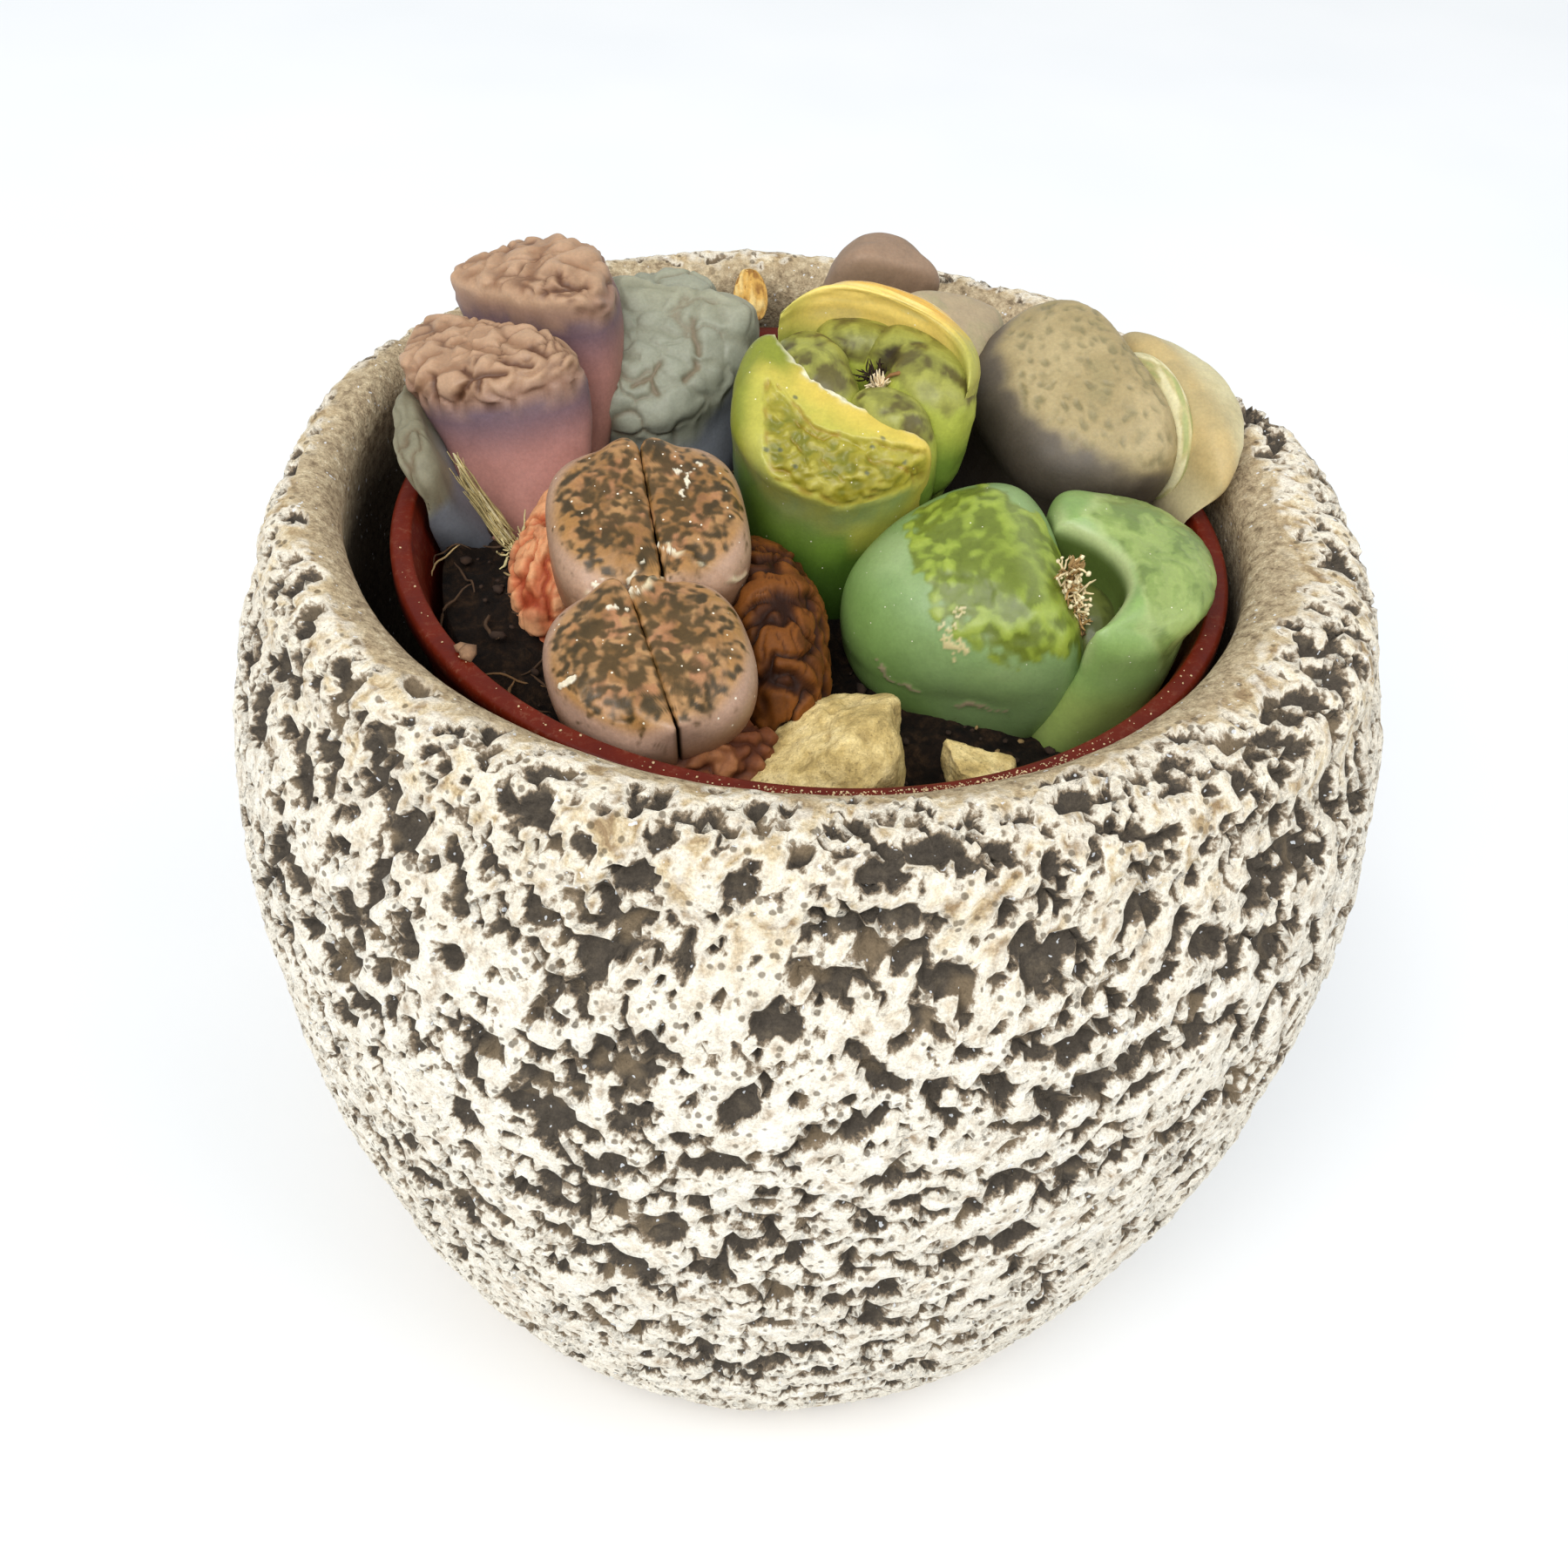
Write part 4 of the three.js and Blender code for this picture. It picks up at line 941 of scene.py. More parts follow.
CREASES = {  # narrow dark creases, then broad shallow ones, across each unrolled face
    "pink_leaf_near": (
        [[(-1.3, 5.6), (-2.1, 6.1), (-2.0, 6.6), (-1.5, 7.4)],
         [(-2.1, 6.1), (-2.7, 5.7), (-3.7, 5.1)],
         [(-2.5, 6.0), (-2.7, 6.5)], [(-2.8, 4.3), (-3.5, 4.3), (-4.5, 4.1)],
         [(-3.5, 2.9), (-4.1, 3.0), (-4.9, 3.1)], [(0.4, 6.5), (0.2, 7.1), (0.1, 7.7)]],
        [[(3.7, 7.6), (1.1, 7.1), (0.5, 6.5), (-0.7, 5.6), (-1.3, 5.5)],
         [(4.1, 6.2), (1.9, 6.2), (0.9, 4.7)], [(0.8, 3.7), (-0.3, 4.0), (-2.3, 3.8)],
         [(-1.8, 2.9), (-3.2, 3.0)], [(4.6, 4.4), (3.2, 4.0), (2.4, 2.6)],
         [(1.6, 2.4), (0.6, 1.4)]]),
    "pink_leaf_far": (
        [[(2.5, 2.8), (3.2, 2.4), (3.8, 2.5), (4.1, 3.1)],
         [(2.7, 1.4), (2.9, 0.8), (3.5, 0.6), (4.2, 0.8), (4.4, 1.4)], [(4.2, 0.8), (4.3, 0.3)],
         [(3.0, 1.6), (3.4, 1.9), (4.1, 2.5)], [(-0.6, 0.5), (-0.5, 0.6)], [(2.0, 0.5), (2.1, 0.6)]],
        [[(-0.6, 2.4), (-0.6, 1.1), (-1.2, 0.5)], [(0.6, 3.6), (1.5, 1.8), (1.2, 0.5)],
         [(2.2, 4.0), (3.3, 4.3)], [(-2.2, 1.8), (-3.1, 0.8), (-4.8, 0.6)],
         [(0.1, 4.9), (0.2, 4.1), (0.8, 3.0)], [(-2.0, 4.6), (-2.4, 3.2), (-3.6, 2.4)],
         [(-3.2, 5.4), (-4.4, 3.8)]]),
    "slate_leaf_near": (
        [[(2.3, 7.3), (2.2, 7.7), (1.7, 8.3), (1.1, 8.6)], [(-1.0, 7.0), (-0.7, 7.8), (0.1, 8.4)],
         [(-0.7, 7.8), (-1.3, 8.5)], [(-2.3, 3.7), (-2.4, 4.3), (-2.6, 5.0), (-3.0, 5.5)],
         [(-3.0, 6.2), (-3.1, 6.7), (-2.7, 7.4)]],
        [[(1.9, 5.4), (0.2, 5.0), (-0.5, 4.7), (-1.4, 4.9), (-2.0, 4.7)],
         [(2.2, 6.5), (1.1, 6.7), (0.3, 6.6)], [(1.7, 2.3), (1.0, 1.8), (-0.7, 1.9)],
         [(-2.3, 2.2), (-3.0, 2.3), (-3.9, 3.3)], [(-4.1, 4.4), (-5.1, 4.2), (-6.8, 2.9)],
         [(-3.0, 6.2), (-3.8, 6.0), (-4.8, 5.8)], [(-2.3, 3.7), (-2.3, 2.2), (-1.9, 1.0)],
         [(3.4, 3.6), (4.4, 5.2), (4.2, 6.8)]]),
}


def furrowed_leaf(node, spec, finish, colours, size, stretch, salt, depth, limit):
    """A wrinkled face: broad valleys and narrow dark creases, placed one by one where the face is
    seen and along the borders of bent cells elsewhere. Below the face the side is smooth."""
    crown_rows, side_rows, around = (58, 26, 200) if node in CREASES else (38, 20, 130)
    leaf = leaf_surface(**spec, crown_rows=crown_rows, side_rows=side_rows, around=around)
    below = leaf.below
    on_face = ease(limit + 0.9, limit - 0.5, below + 0.5 * clouds(leaf.rings, 1.8, 2, salt + 9))
    flat = wandering(leaf)
    narrow, broad = CREASES.get(node, ([], []))
    crease = drawn(flat, narrow, 0.18)
    valley = np.maximum(0.85 * drawn(flat, broad, 0.36), 0.8 * drawn(flat, narrow, 0.42))
    gap = furrows(leaf.local, size, salt, stretch, 0.9)
    share = 0.75 if narrow else 1.0
    soft = np.exp(-((gap / 0.22) ** 2))
    broken = ease(-0.2, 0.4, clouds(leaf.local, 3.0, 2, salt=salt + 7))
    fine = np.exp(-((gap / 0.07) ** 2))
    crease = np.maximum(crease, (0.6 if narrow else 0.8) * broken * fine)
    cliff = 1 - ease(0.14, 0.05, leaf.v) * ease(0.5, 1.3, below)
    crease, valley, soft = crease * cliff, valley * cliff, soft * cliff
    swell = 0.16 * clouds(leaf.rings, 2.2, 2, salt + 3)
    move = on_face * (swell - depth * np.maximum(valley, share * soft) - 0.2 * crease)
    move = move + 0.03 * clouds(leaf.rings, 1.2, 2, 91)
    tint = colours(leaf, below, on_face, np.maximum(valley, 0.6 * share * soft), crease)
    make_flesh(node, pushed(leaf.rings, move), finish, tint)


def pink_head():
    """Brain-like creases on tan faces over a violet-grey band and rose sides."""
    finish = fleshy("pink_leaf_skin", 0.55, 0.10, 0.015, gloss=0.03, inner=0.06)

    def colours(leaf, below, on_face, soft, crease):
        """The side's colours, then the face's, then its valleys and creases."""
        return painted(
            leaf.rings, "ad7a70",
            ("9c6a58", ease(6, 15, below)),
            ("725e68", ease(7.0, 3.0, below)),
            ("b89678", on_face),
            ("8c6c64", 0.6 * on_face * ease(1.0, 2.2, below)),
            ("80583a", on_face * 0.85 * soft),
            ("5c3a26", on_face * 0.95 * np.clip(crease * 1.2, 0, 1)),
        )

    for k, (node, spec) in enumerate(PINK.items()):
        furrowed_leaf(node, spec, finish, colours, 2.1, (1.0, 1.5, 1.2),
                      salt=101 + 40 * k, depth=0.42, limit=2.7)


SMALL_HEAD_EDGE = -18  # only the small head lies further left
SMALL_HEAD_PAINTED_SHADE = np.array([0.25, 0.33, 0.42])  # painted shade: how much darker its face is, by colour, as the head sits in shadow


def slate_heads():
    """Broad low ridges in grey-green with thin brown creases, over slate-grey sides. The small
    head at the left is painted darker and browner on its face: painted shade, as it sits in
    shadow."""
    finish = fleshy("slate_leaf_skin", 0.55, 0.10, 0.015, gloss=0.03, inner=0.05)

    def colours(leaf, below, on_face, soft, crease):
        """The side's colours, then the face's, then its valleys and creases."""
        tint = painted(
            leaf.rings, "72767c",
            ("4c4e55", ease(4, 11, below)),
            ("969886", on_face),
            ("b0ab8b", 0.8 * on_face * ease(71.5, 75.5, leaf.rings[..., 2])),
            ("7d7c66", on_face * 0.7 * soft),
            ("75624a", on_face * 0.75 * np.clip(crease * 1.1, 0, 1)),
        )
        # painted shade on the small head's face
        small_head_shade = (leaf.rings[..., 0].mean() < SMALL_HEAD_EDGE) * on_face[..., None]
        return tint * (1 - small_head_shade * SMALL_HEAD_PAINTED_SHADE)

    for k, (node, spec) in enumerate(SLATE.items()):
        small = node.startswith("small")
        furrowed_leaf(node, spec, finish, colours, 2.4 if small else 2.8,
                      (1.2, 1.0, 1.2), salt=201 + 40 * k, depth=0.14 if small else 0.3, limit=3.4)


YELLOW_CREASES = [  # round the sunken window
    [(3.1, 4.0), (2.8, 4.8), (2.1, 5.7), (1.5, 6.6), (1.0, 7.5), (0.3, 8.1), (-0.5, 7.8)],
    [(2.4, 3.7), (0.9, 4.2), (-0.1, 4.7), (-1.1, 4.4), (-1.9, 4.2), (-2.9, 4.4), (-3.7, 4.7),
     (-4.9, 4.1), (-7.1, 3.5)],
    [(-0.1, 8.5), (-1.7, 8.3), (-2.7, 8.0), (-4.3, 7.9), (-4.4, 6.9), (-5.6, 5.8)],
]
YELLOW_WRINKLES = [
    [(-3.1, 3.5), (-3.8, 3.4), (-4.5, 3.1), (-5.7, 2.5)], [(-3.3, 4.6), (-4.3, 4.3), (-5.2, 3.9),
     (-7.3, 2.7)], [(-5.5, 4.0), (-6.6, 3.6), (-7.8, 2.6)], [(0.7, 4.9), (0, 5.1), (-0.9, 5.0),
     (-1.3, 4.2)], [(-4.6, 5.4), (-6.0, 4.8)], [(-4.4, 6.2), (-5.8, 5.2)],
    [(-1.6, 6.2), (-3.0, 6.6)], [(0.4, 6.0), (-0.6, 6.4), (-1.2, 7.2)],
]
YELLOW_DOTS = [(1.4, 3.7), (-3.1, 3.9), (-3.3, 3.1), (0.5, 7.0), (1.1, 7.4), (-0.6, 7.4),
               (-3.7, 5.5), (-5.0, 3.7)]
YELLOW_WINDOW = np.array([
    (3.2, 3.9), (2.8, 4.9), (2.0, 6.0), (1.0, 7.6), (0.2, 8.3), (-1.0, 8.5), (-2.7, 8.1),
    (-4.4, 7.9), (-5.6, 5.9), (-7.4, 3.6), (-7.8, 2.4), (-5.7, 2.4), (-3.1, 3.3), (-1.9, 4.1),
    (-0.1, 4.6), (1.0, 4.1)])
YELLOW_BAND = [[(0.9, 9.4), (-0.8, 10.2), (-3.6, 9.7), (-5.6, 8.2), (-7.6, 5.0)]]


def within(flat, corners):
    """Signed distance into a closed outline on the unrolled skin, above 0 inside: the distance to
    the nearest edge, with the sign of how often a ray to the right crosses the edges."""
    nearest = np.full(flat.shape[:-1], FAR)
    inside = np.zeros(flat.shape[:-1], bool)
    for start, end in zip(corners, np.roll(corners, -1, 0)):
        nearest = np.minimum(nearest, from_line(flat, start, end))
        way = end - start
        spans = (start[1] > flat[..., 1]) != (end[1] > flat[..., 1])
        crossing = start[0] + way[0] * (flat[..., 1] - start[1]) / (way[1] or 1e-9)
        inside ^= spans & (flat[..., 0] < crossing)
    return np.where(inside, nearest, -nearest)


def yellow_old_leaves():
    """Last year's pair: a yellow-green window that has sunk inside an ochre crease, wrinkled
    and dotted, with a torn pale rim, and the ochre band of the other leaf behind."""
    finish = fleshy("yellow_leaf_skin", 0.4, 0.08, 0.015, gloss=0.12, inner=0.08,
                    inner_colour=(0.8, 0.9, 0.2), dust_and_glints=0.03)
    leaf = leaf_surface(**YELLOW_FRONT, edge=9, crown_rows=64, side_rows=26, around=216)
    skin, below = leaf.rings, leaf.below
    flat = wandering(leaf, 0.9, 0.14)
    window = ease(-0.1, 0.35, within(flat, YELLOW_WINDOW))
    outline, wrinkle = drawn(flat, YELLOW_CREASES, 0.12), drawn(flat, YELLOW_WRINKLES, 0.10)
    mottle = clouds(drifted(skin, 1.4, 0.5, 307), 1.25, 4, salt=309)
    lumps = clouds(drifted(skin, 1.0, 0.4, 317), 0.95, 3, salt=319)
    away = -within(flat, YELLOW_WINDOW)
    band = drawn(flat, YELLOW_BAND, 1.5)
    broken = ease(-0.5, 0.3, clouds(skin, 1.0, 2, 325))
    blot = blots(drifted(skin, 0.9, 0.12, 331), 0.62, salt=333)
    crease = np.clip((0.65 * outline + 0.5 * wrinkle) * broken, 0, 0.8)
    dots = drawn(leaf.flat, [[d, (d[0] + 0.01, d[1])] for d in YELLOW_DOTS], 0.15)
    torn = ease(0.10, 0.03, leaf.v + 0.03 * lumps) * ease(1.6, 0.2, below)
    band = np.clip(1.0 * band * (0.85 + 0.3 * mottle), 0, 1) * ease(0.0, 0.3, away)
    tint = painted(
        skin, "b5b04a",
        ("d2ba52", ease(0.50, 0.1, leaf.v + 0.06 * mottle)),
        ("e2cf86", 0.6 * ease(0.14, 0.02, leaf.v + 0.05 * lumps)),
        ("858c2c", ease(0.3, 1.6, away) * ease(1.5, 3.5, leaf.flat[..., 0])),
        ("6d8c30", ease(1.6, 3.0, away) * ease(8.2, 9.8, leaf.flat[..., 1])),
        ("46621f", ease(3.0, 5.5, away)),
        ("304c17", ease(6.5, 13, below)),
        ("8f9e62", band),
        ("8f8622", window),
        ("b2a846", window * ease(0.1, 0.8, blot) * 0.75),
        ("6c6f1e", window * ease(0.1, 0.8, -blot) * 0.7),
        ("b3a83e", 0.7 * window * ease(5.2, 3.8, leaf.flat[..., 1])),
        ("9a7a26", crease),
        ("4d5646", 0.75 * ease(0.2, 0.7, dots)),
        ("f3efcf", 0.9 * torn),
    )
    move = window * (0.10 * lumps + 0.12 * blot - 0.26) - 0.12 * outline - 0.12 * wrinkle
    move = move + 0.10 * clouds(skin, 3.0, 2, salt=315) + 0.14 * torn * lumps
    rings = pushed(skin, move * ease(9.0, 5.0, below))
    make_flesh("yellow_old_leaf_front", rings, finish, np.clip(tint, 0, 1))

    leaf = leaf_surface(**YELLOW_BACK, edge=5, crown_rows=42, side_rows=34, around=200)
    skin, below = leaf.rings, leaf.below
    streak = clouds(leaf.local * [0.25, 1, 1], 1.0, 3, salt=321)
    tint = painted(
        skin, "ecce70",
        ("e0b04a", ease(0.1, 0.7, leaf.v) * ease(-0.3, 0.5, streak)),
        ("e2cf86", 0.6 * ease(0.2, 0.7, -streak)),
        ("aeaa50", ease(0.3, 0.85, leaf.u)),
        ("c2bb58", ease(-0.7, -0.98, leaf.u)),
        ("8d9b45", ease(2.0, 4.5, below)),
        ("466020", ease(6, 13, below)),
    )
    move = 0.10 * clouds(leaf.local * [0.3, 1, 1], 1.2, 3, salt=323)
    make_flesh("yellow_old_leaf_back", pushed(skin, move), finish, np.clip(tint, 0, 1))


YELLOW_STAR = np.array([2.4, 6.4])  # where the young leaves meet
NEW_LEAVES = {
    "yellow_new_leaf_left": dict(centre=(-1.1, 6.5, 70.9), size=(4.9, 2.9, 4.9), turn=-66, tilt=10,
                                 toward=200, square=2.7),
    "yellow_new_leaf_front": dict(centre=(3.7, 2.5, 70.4), size=(3.5, 2.2, 4.7), turn=-34, tilt=10,
                                  toward=250, square=2.7),
    "yellow_new_leaf_right": dict(centre=(5.0, 6.7, 71.3), size=(5.6, 3.5, 5.0), turn=-64, tilt=8,
                                  toward=20, square=3.0),
    "yellow_new_leaf_back": dict(centre=(1.4, 9.8, 70.7), size=(4.0, 2.5, 5.0), turn=-20, tilt=6,
                                 toward=80, square=3.0),
    "green_new_leaf": dict(centre=(17.0, -6.9, 63.4), size=(3.4, 2.2, 3.6), turn=-80, tilt=4,
                           square=2.6),
}


def new_leaves():
    """Young leaves: lime sides under an olive-brown window whose lower edge is toothed. They
    meet in a sunken star, painted dark as painted shade."""
    finish = fleshy("new_leaf_skin", 0.42, 0.10, 0.01, gloss=0.08, inner=0.04,
                    inner_colour=(0.6, 0.9, 0.2))
    for k, (node, spec) in enumerate(NEW_LEAVES.items()):
        lobe = lobe_surface(**spec)
        skin, height, tall = lobe.rings, lobe.local[..., 2], spec["size"][2]
        tooth = height + 0.45 * clouds(skin, 0.9, 3, salt=401 + k)
        middle = np.linalg.norm(skin[..., :2] - YELLOW_STAR, axis=-1)
        top = ease(tall - 2.4, tall - 1.6, tooth) * ease(1.2, 3.4, middle + tooth)
        mottle = clouds(drifted(skin, 1.2, 0.4, 411), 1.3, 4, salt=413)
        tint = painted(
            skin, "a9b047",
            ("6d8430", ease(tall - 3.0, tall - 6, height)),
            ("7c7a36", 0.9 * top),
            ("a0a04a", 0.8 * top * ease(0.0, 0.5, mottle)),
            ("544a24", 0.85 * top * ease(0.0, 0.5, -mottle)),
            ("4f5a28", 0.8 * node.startswith("green")),
            # painted shade: dark where the leaves meet in the sunken star
            ("2a1c10", 0.9 * ease(1.5, 0.5, middle + 0.4 * mottle)),
        )
        sunk = 0.9 * np.exp(-((middle / 1.5) ** 2)) * ease(-1, 2, height)
        make_flesh(node, pushed(skin, 0.08 * mottle - sunk), finish, tint)


GREEN_WINDOW = np.array([(3.6, 8.0), (1.9, 8.9), (-1.2, 8.8), (-3.5, 8.0), (-5.2, 6.2), (-6.3, 3.6),
                         (-6.3, 0.8), (-2, -1), (1.0, 2.4), (3.4, 4.2), (3.9, 5.8)])
GREEN_RIGHT_WINDOW = np.array([
    (-7.5, 5.5), (-2.8, 3.6), (-0.7, 1.9), (1.9, 1.9), (4.1, 3.3), (5.5, 4.7), (8.3, 7.0),
    (9.5, 14.0), (-10.0, 14.0)])
GREEN_SCARS = [[(-3.1, 12.0), (-4.0, 12.4), (-5.7, 10.8)], [(-7.5, 8.5), (-8.2, 6.9), (-9.0, 5.2)]]
GREEN_SPECKS = [[(-3.9, 7.9), (-3.2, 8.2)], [(-4.1, 7.4), (-4.4, 7.7)], [(-3.0, 7.4), (-2.9, 7.5)]]


def green_head():
    """Smooth blue-green sides. The left leaf has a window of olive with yellow-green blots, and
    corky scars and specks on its front. The right one has a mottled window, a pale rim and a
    hollow painted dark as painted shade."""
    finish = fleshy("green_leaf_skin", 0.36, 0.07, 0.01, gloss=0.16, inner=0.07,
                    inner_colour=(0.5, 0.9, 0.35), dust_and_glints=0.02)
    leaf = leaf_surface(**GREEN_LEFT, edge=3.2, crown_rows=68, side_rows=24, around=212)
    skin, below = leaf.rings, leaf.below
    flat = wandering(leaf, 1.2, 0.45)
    mottle = clouds(drifted(skin, 1.0, 0.45, 501), 1.15, 4, salt=503, rough=0.55)
    fine = clouds(skin, 0.8, 3, salt=507)
    blot = blots(drifted(skin, 1.1, 0.15, 531), 0.72, salt=533)
    window = ease(-0.2, 0.4, within(flat, GREEN_WINDOW) + 0.35 * blot)
    cloudy = clouds(skin, 6, 3, salt=511)
    inner = ease(0.8, 3.2, within(flat, GREEN_WINDOW))
    lit, bright = ease(-0.15, 0.35, blot + 0.4 * mottle), ease(0.35, 0.9, blot + 0.5 * mottle)
    ragged = wandering(leaf, 0.5, 0.3, 61)
    scar = ease(0.35, 0.6, drawn(ragged, GREEN_SCARS, 0.15) * (1 + 0.5 * fine))
    speck = ease(0.35, 0.6, drawn(wandering(leaf, 0.4, 0.4, 63), GREEN_SPECKS, 0.16))
    tint = painted(
        skin, "84a066",
        ("9cb17c", 0.8 * ease(0.0, 0.7, cloudy)),
        ("7c9c54", ease(8.5, 12.5, leaf.flat[..., 1])),
        ("6b883e", ease(8, 15, below)),
        ("6a7828", window),
        ("8a9c38", window * (0.95 - 0.45 * inner) * lit),
        ("9dad46", 0.7 * window * (1 - 0.5 * inner) * bright),
        ("5c6922", 0.6 * window * ease(0.3, 0.9, -blot) * ease(-0.4, 0.4, fine)),
        ("a9b47c", 0.5 * ease(1.4, 0.2, below) * ease(0.25, 0.1, leaf.v)),
        ("b5a082", 0.85 * scar),
        ("cfc08c", 0.9 * speck),
    )
    move = 0.05 * blot * window + 0.14 * clouds(skin, 5, 2, salt=513) + 0.07 * scar + 0.07 * speck
    make_flesh("green_leaf_left", pushed(skin, move), finish, tint)

    leaf = leaf_surface(**GREEN_RIGHT, edge=4.2, crown_rows=62, side_rows=28, around=212)
    skin, below = leaf.rings, leaf.below
    mottle = clouds(drifted(skin, 1.2, 0.5, 521), 1.5, 4, salt=523, rough=0.55)
    cloudy = clouds(skin, 5, 3, salt=511)
    inside = within(wandering(leaf, 1.2, 0.3), GREEN_RIGHT_WINDOW)
    window = ease(-0.3, 0.4, inside + 0.25 * mottle) * ease(7.0, 4.0, below)
    rim = np.exp(-(((leaf.v - 0.035) / 0.035) ** 2)) * ease(5.0, 3.6, below)
    rim = rim * ease(-0.8, -0.2, leaf.u)
    # painted shade: dark down in the gaping fissure
    hollow = ease(0.03, 0.012, leaf.v) * ease(0.9, 2.2, below)
    tint = painted(
        skin, "86a45c",
        ("9bb274", 0.8 * ease(0.0, 0.7, cloudy)),
        ("b3bf80", 0.6 * np.exp(-((inside / 0.32) ** 2)) * ease(6.5, 4.0, below)),
        ("869a52", 0.9 * window),
        ("6b7f42", 0.75 * window * ease(0.02, 0.35, mottle)),
        ("a2b46a", 0.5 * window * ease(0.1, 0.5, -mottle)),
        ("a3b25e", ease(5, 8, below) * 0.6),
        ("5c7434", ease(10, 15, below)),
        ("b4c088", 0.9 * rim),
        ("46561f", 0.95 * hollow),
    )
    move = 0.07 * mottle * window + 0.12 * clouds(skin, 5, 2, salt=513) + 0.15 * rim
    make_flesh("green_leaf_right", pushed(skin, move), finish, tint)


TAN_FACE = np.array([
    (9, -2), (7.0, 4.6), (4.0, 7.6), (1.3, 8.3), (-0.9, 8.3), (-2.6, 7.8), (-5.2, 6.5),
    (-7.2, 4.0), (-8.4, 1.8), (-8.6, -2)])


def tan_head():
    """Large tan faces with soft grey-green dimples over purplish sides darkened with painted
    shade, and the ochre inside and pale-green margin of the leaf behind."""
    finish = fleshy("tan_leaf_skin", 0.52, 0.10, 0.015, gloss=0.03, inner=0.05)
    leaf = leaf_surface(**TAN["tan_leaf_near"], edge=4, crown_rows=60, side_rows=22, around=200)
    skin = leaf.rings
    flat = wandering(leaf, 2.2, 0.35)
    into = within(flat, TAN_FACE)
    face = ease(-0.7, 0.5, into)
    near, _, tag = cells(drifted(leaf.local * [0.8, 1.1, 1], 1.2, 0.35, 603), 0.85, salt=605)
    dots = ease(0.55, 0.14, near) * ease(0.02, 0.2, tag)
    cloudy = clouds(skin, 3.5, 3, salt=607)
    tint = painted(
        # purplish grey sides darkened with painted shade, darkest far down
        skin, "4b4238",
        ("2a231c", ease(10.5, 14, leaf.flat[..., 1])),
        ("6a5f50", ease(-1.8, 0.0, into)),
        ("a49268", face),
        ("b8a67c", 0.7 * face * ease(-0.1, 0.7, cloudy)),
        ("928860", 0.5 * face * ease(0.1, 0.7, -cloudy)),
        ("7d7553", 0.75 * face * dots),
    )
    move = face * (0.10 * cloudy - 0.15 * dots)
    make_flesh("tan_leaf_near", pushed(skin, move), finish, tint)

    leaf = leaf_surface(**TAN["tan_leaf_far"], edge=4, crown_rows=44, side_rows=24, around=170)
    skin, below = leaf.rings, leaf.below
    cloudy = clouds(skin, 3.0, 3, salt=617)
    tint = painted(
        skin, "c6b88c",
        ("bda168", 0.7 * ease(0.5, 0.25, leaf.v + 0.05 * cloudy) * ease(4.5, 2.0, below)),
        ("d3caa0", 0.8 * np.exp(-(((leaf.v - 0.62) / 0.2) ** 2))),
        ("ab9c72", 0.5 * ease(0.1, 0.6, cloudy)),
        ("766a55", ease(4.5, 8, below)),
        ("40382e", ease(8, 13, below)),
    )
    make_flesh("tan_leaf_far", pushed(skin, 0.12 * cloudy), finish, tint)

    young = lobe_surface(centre=(21.6, 12.0, 68.6), size=(6.0, 1.5, 5.0), turn=-65, tilt=6,
                         toward=25)
    stripe = clouds(young.local * [0.35, 3.0, 0.35], 0.9, 2, salt=623)
    tint = painted(
        young.rings, "bfb47e",
        ("e6deb4", 0.8 * ease(0.0, 0.5, stripe)),
        ("96a262", 0.7 * ease(0.0, 0.5, -stripe)),
    )
    make_flesh("tan_new_leaf", young.rings, finish, tint)


def mauve_head():
    """Small mauve-grey leaves, smooth, with a faint greenish mottle on their tops."""
    finish = fleshy("mauve_leaf_skin", 0.55, 0.10, 0.015, gloss=0.02, inner=0.05)
    for k, (node, spec) in enumerate(MAUVE.items()):
        leaf = leaf_surface(**spec, crown_rows=36, side_rows=20, around=120)
        skin, below = leaf.rings, leaf.below
        mottle = clouds(drifted(skin, 1.8, 0.5, 651), 2.4, 3, salt=653 + k)
        green = 0.7 * ease(-0.1, 0.6, mottle) * ease(4.0, 1.6, below)
        base, top, stain = ("a18e74", "b3a080", "a59b76") if k else ("8f7660", "9a7f68", "8b735d")
        tint = painted(
            skin, base,
            (top, ease(3.2, 1.0, below) * 0.8),
            (stain, green),
            ("6e5a4c", ease(4, 10, below)),
        )
        make_flesh(node, pushed(skin, 0.06 * mottle), finish, tint)


OLD_LEAVES = {
    "brown_old_leaf_left": (dict(centre=(-16.6, -3.4, 62.9), size=(6.8, 3.2, 5.0), turn=84,
                                 tilt=8, toward=190), ("c06f48", "dc9f72", "93381f")),
    "brown_old_leaf_right": (dict(centre=(-3.4, -8.2, 62.0), size=(8.7, 3.9, 5.8), turn=-76,
                                  tilt=6, toward=10), ("43230f", "744318", "1f0c04")),
    "brown_old_leaf_front": (dict(centre=(-5.7, -19.3, 60.9), size=(4.6, 2.4, 3.2), turn=25),
                             ("6f4026", "9a6540", "3f1d10")),
}


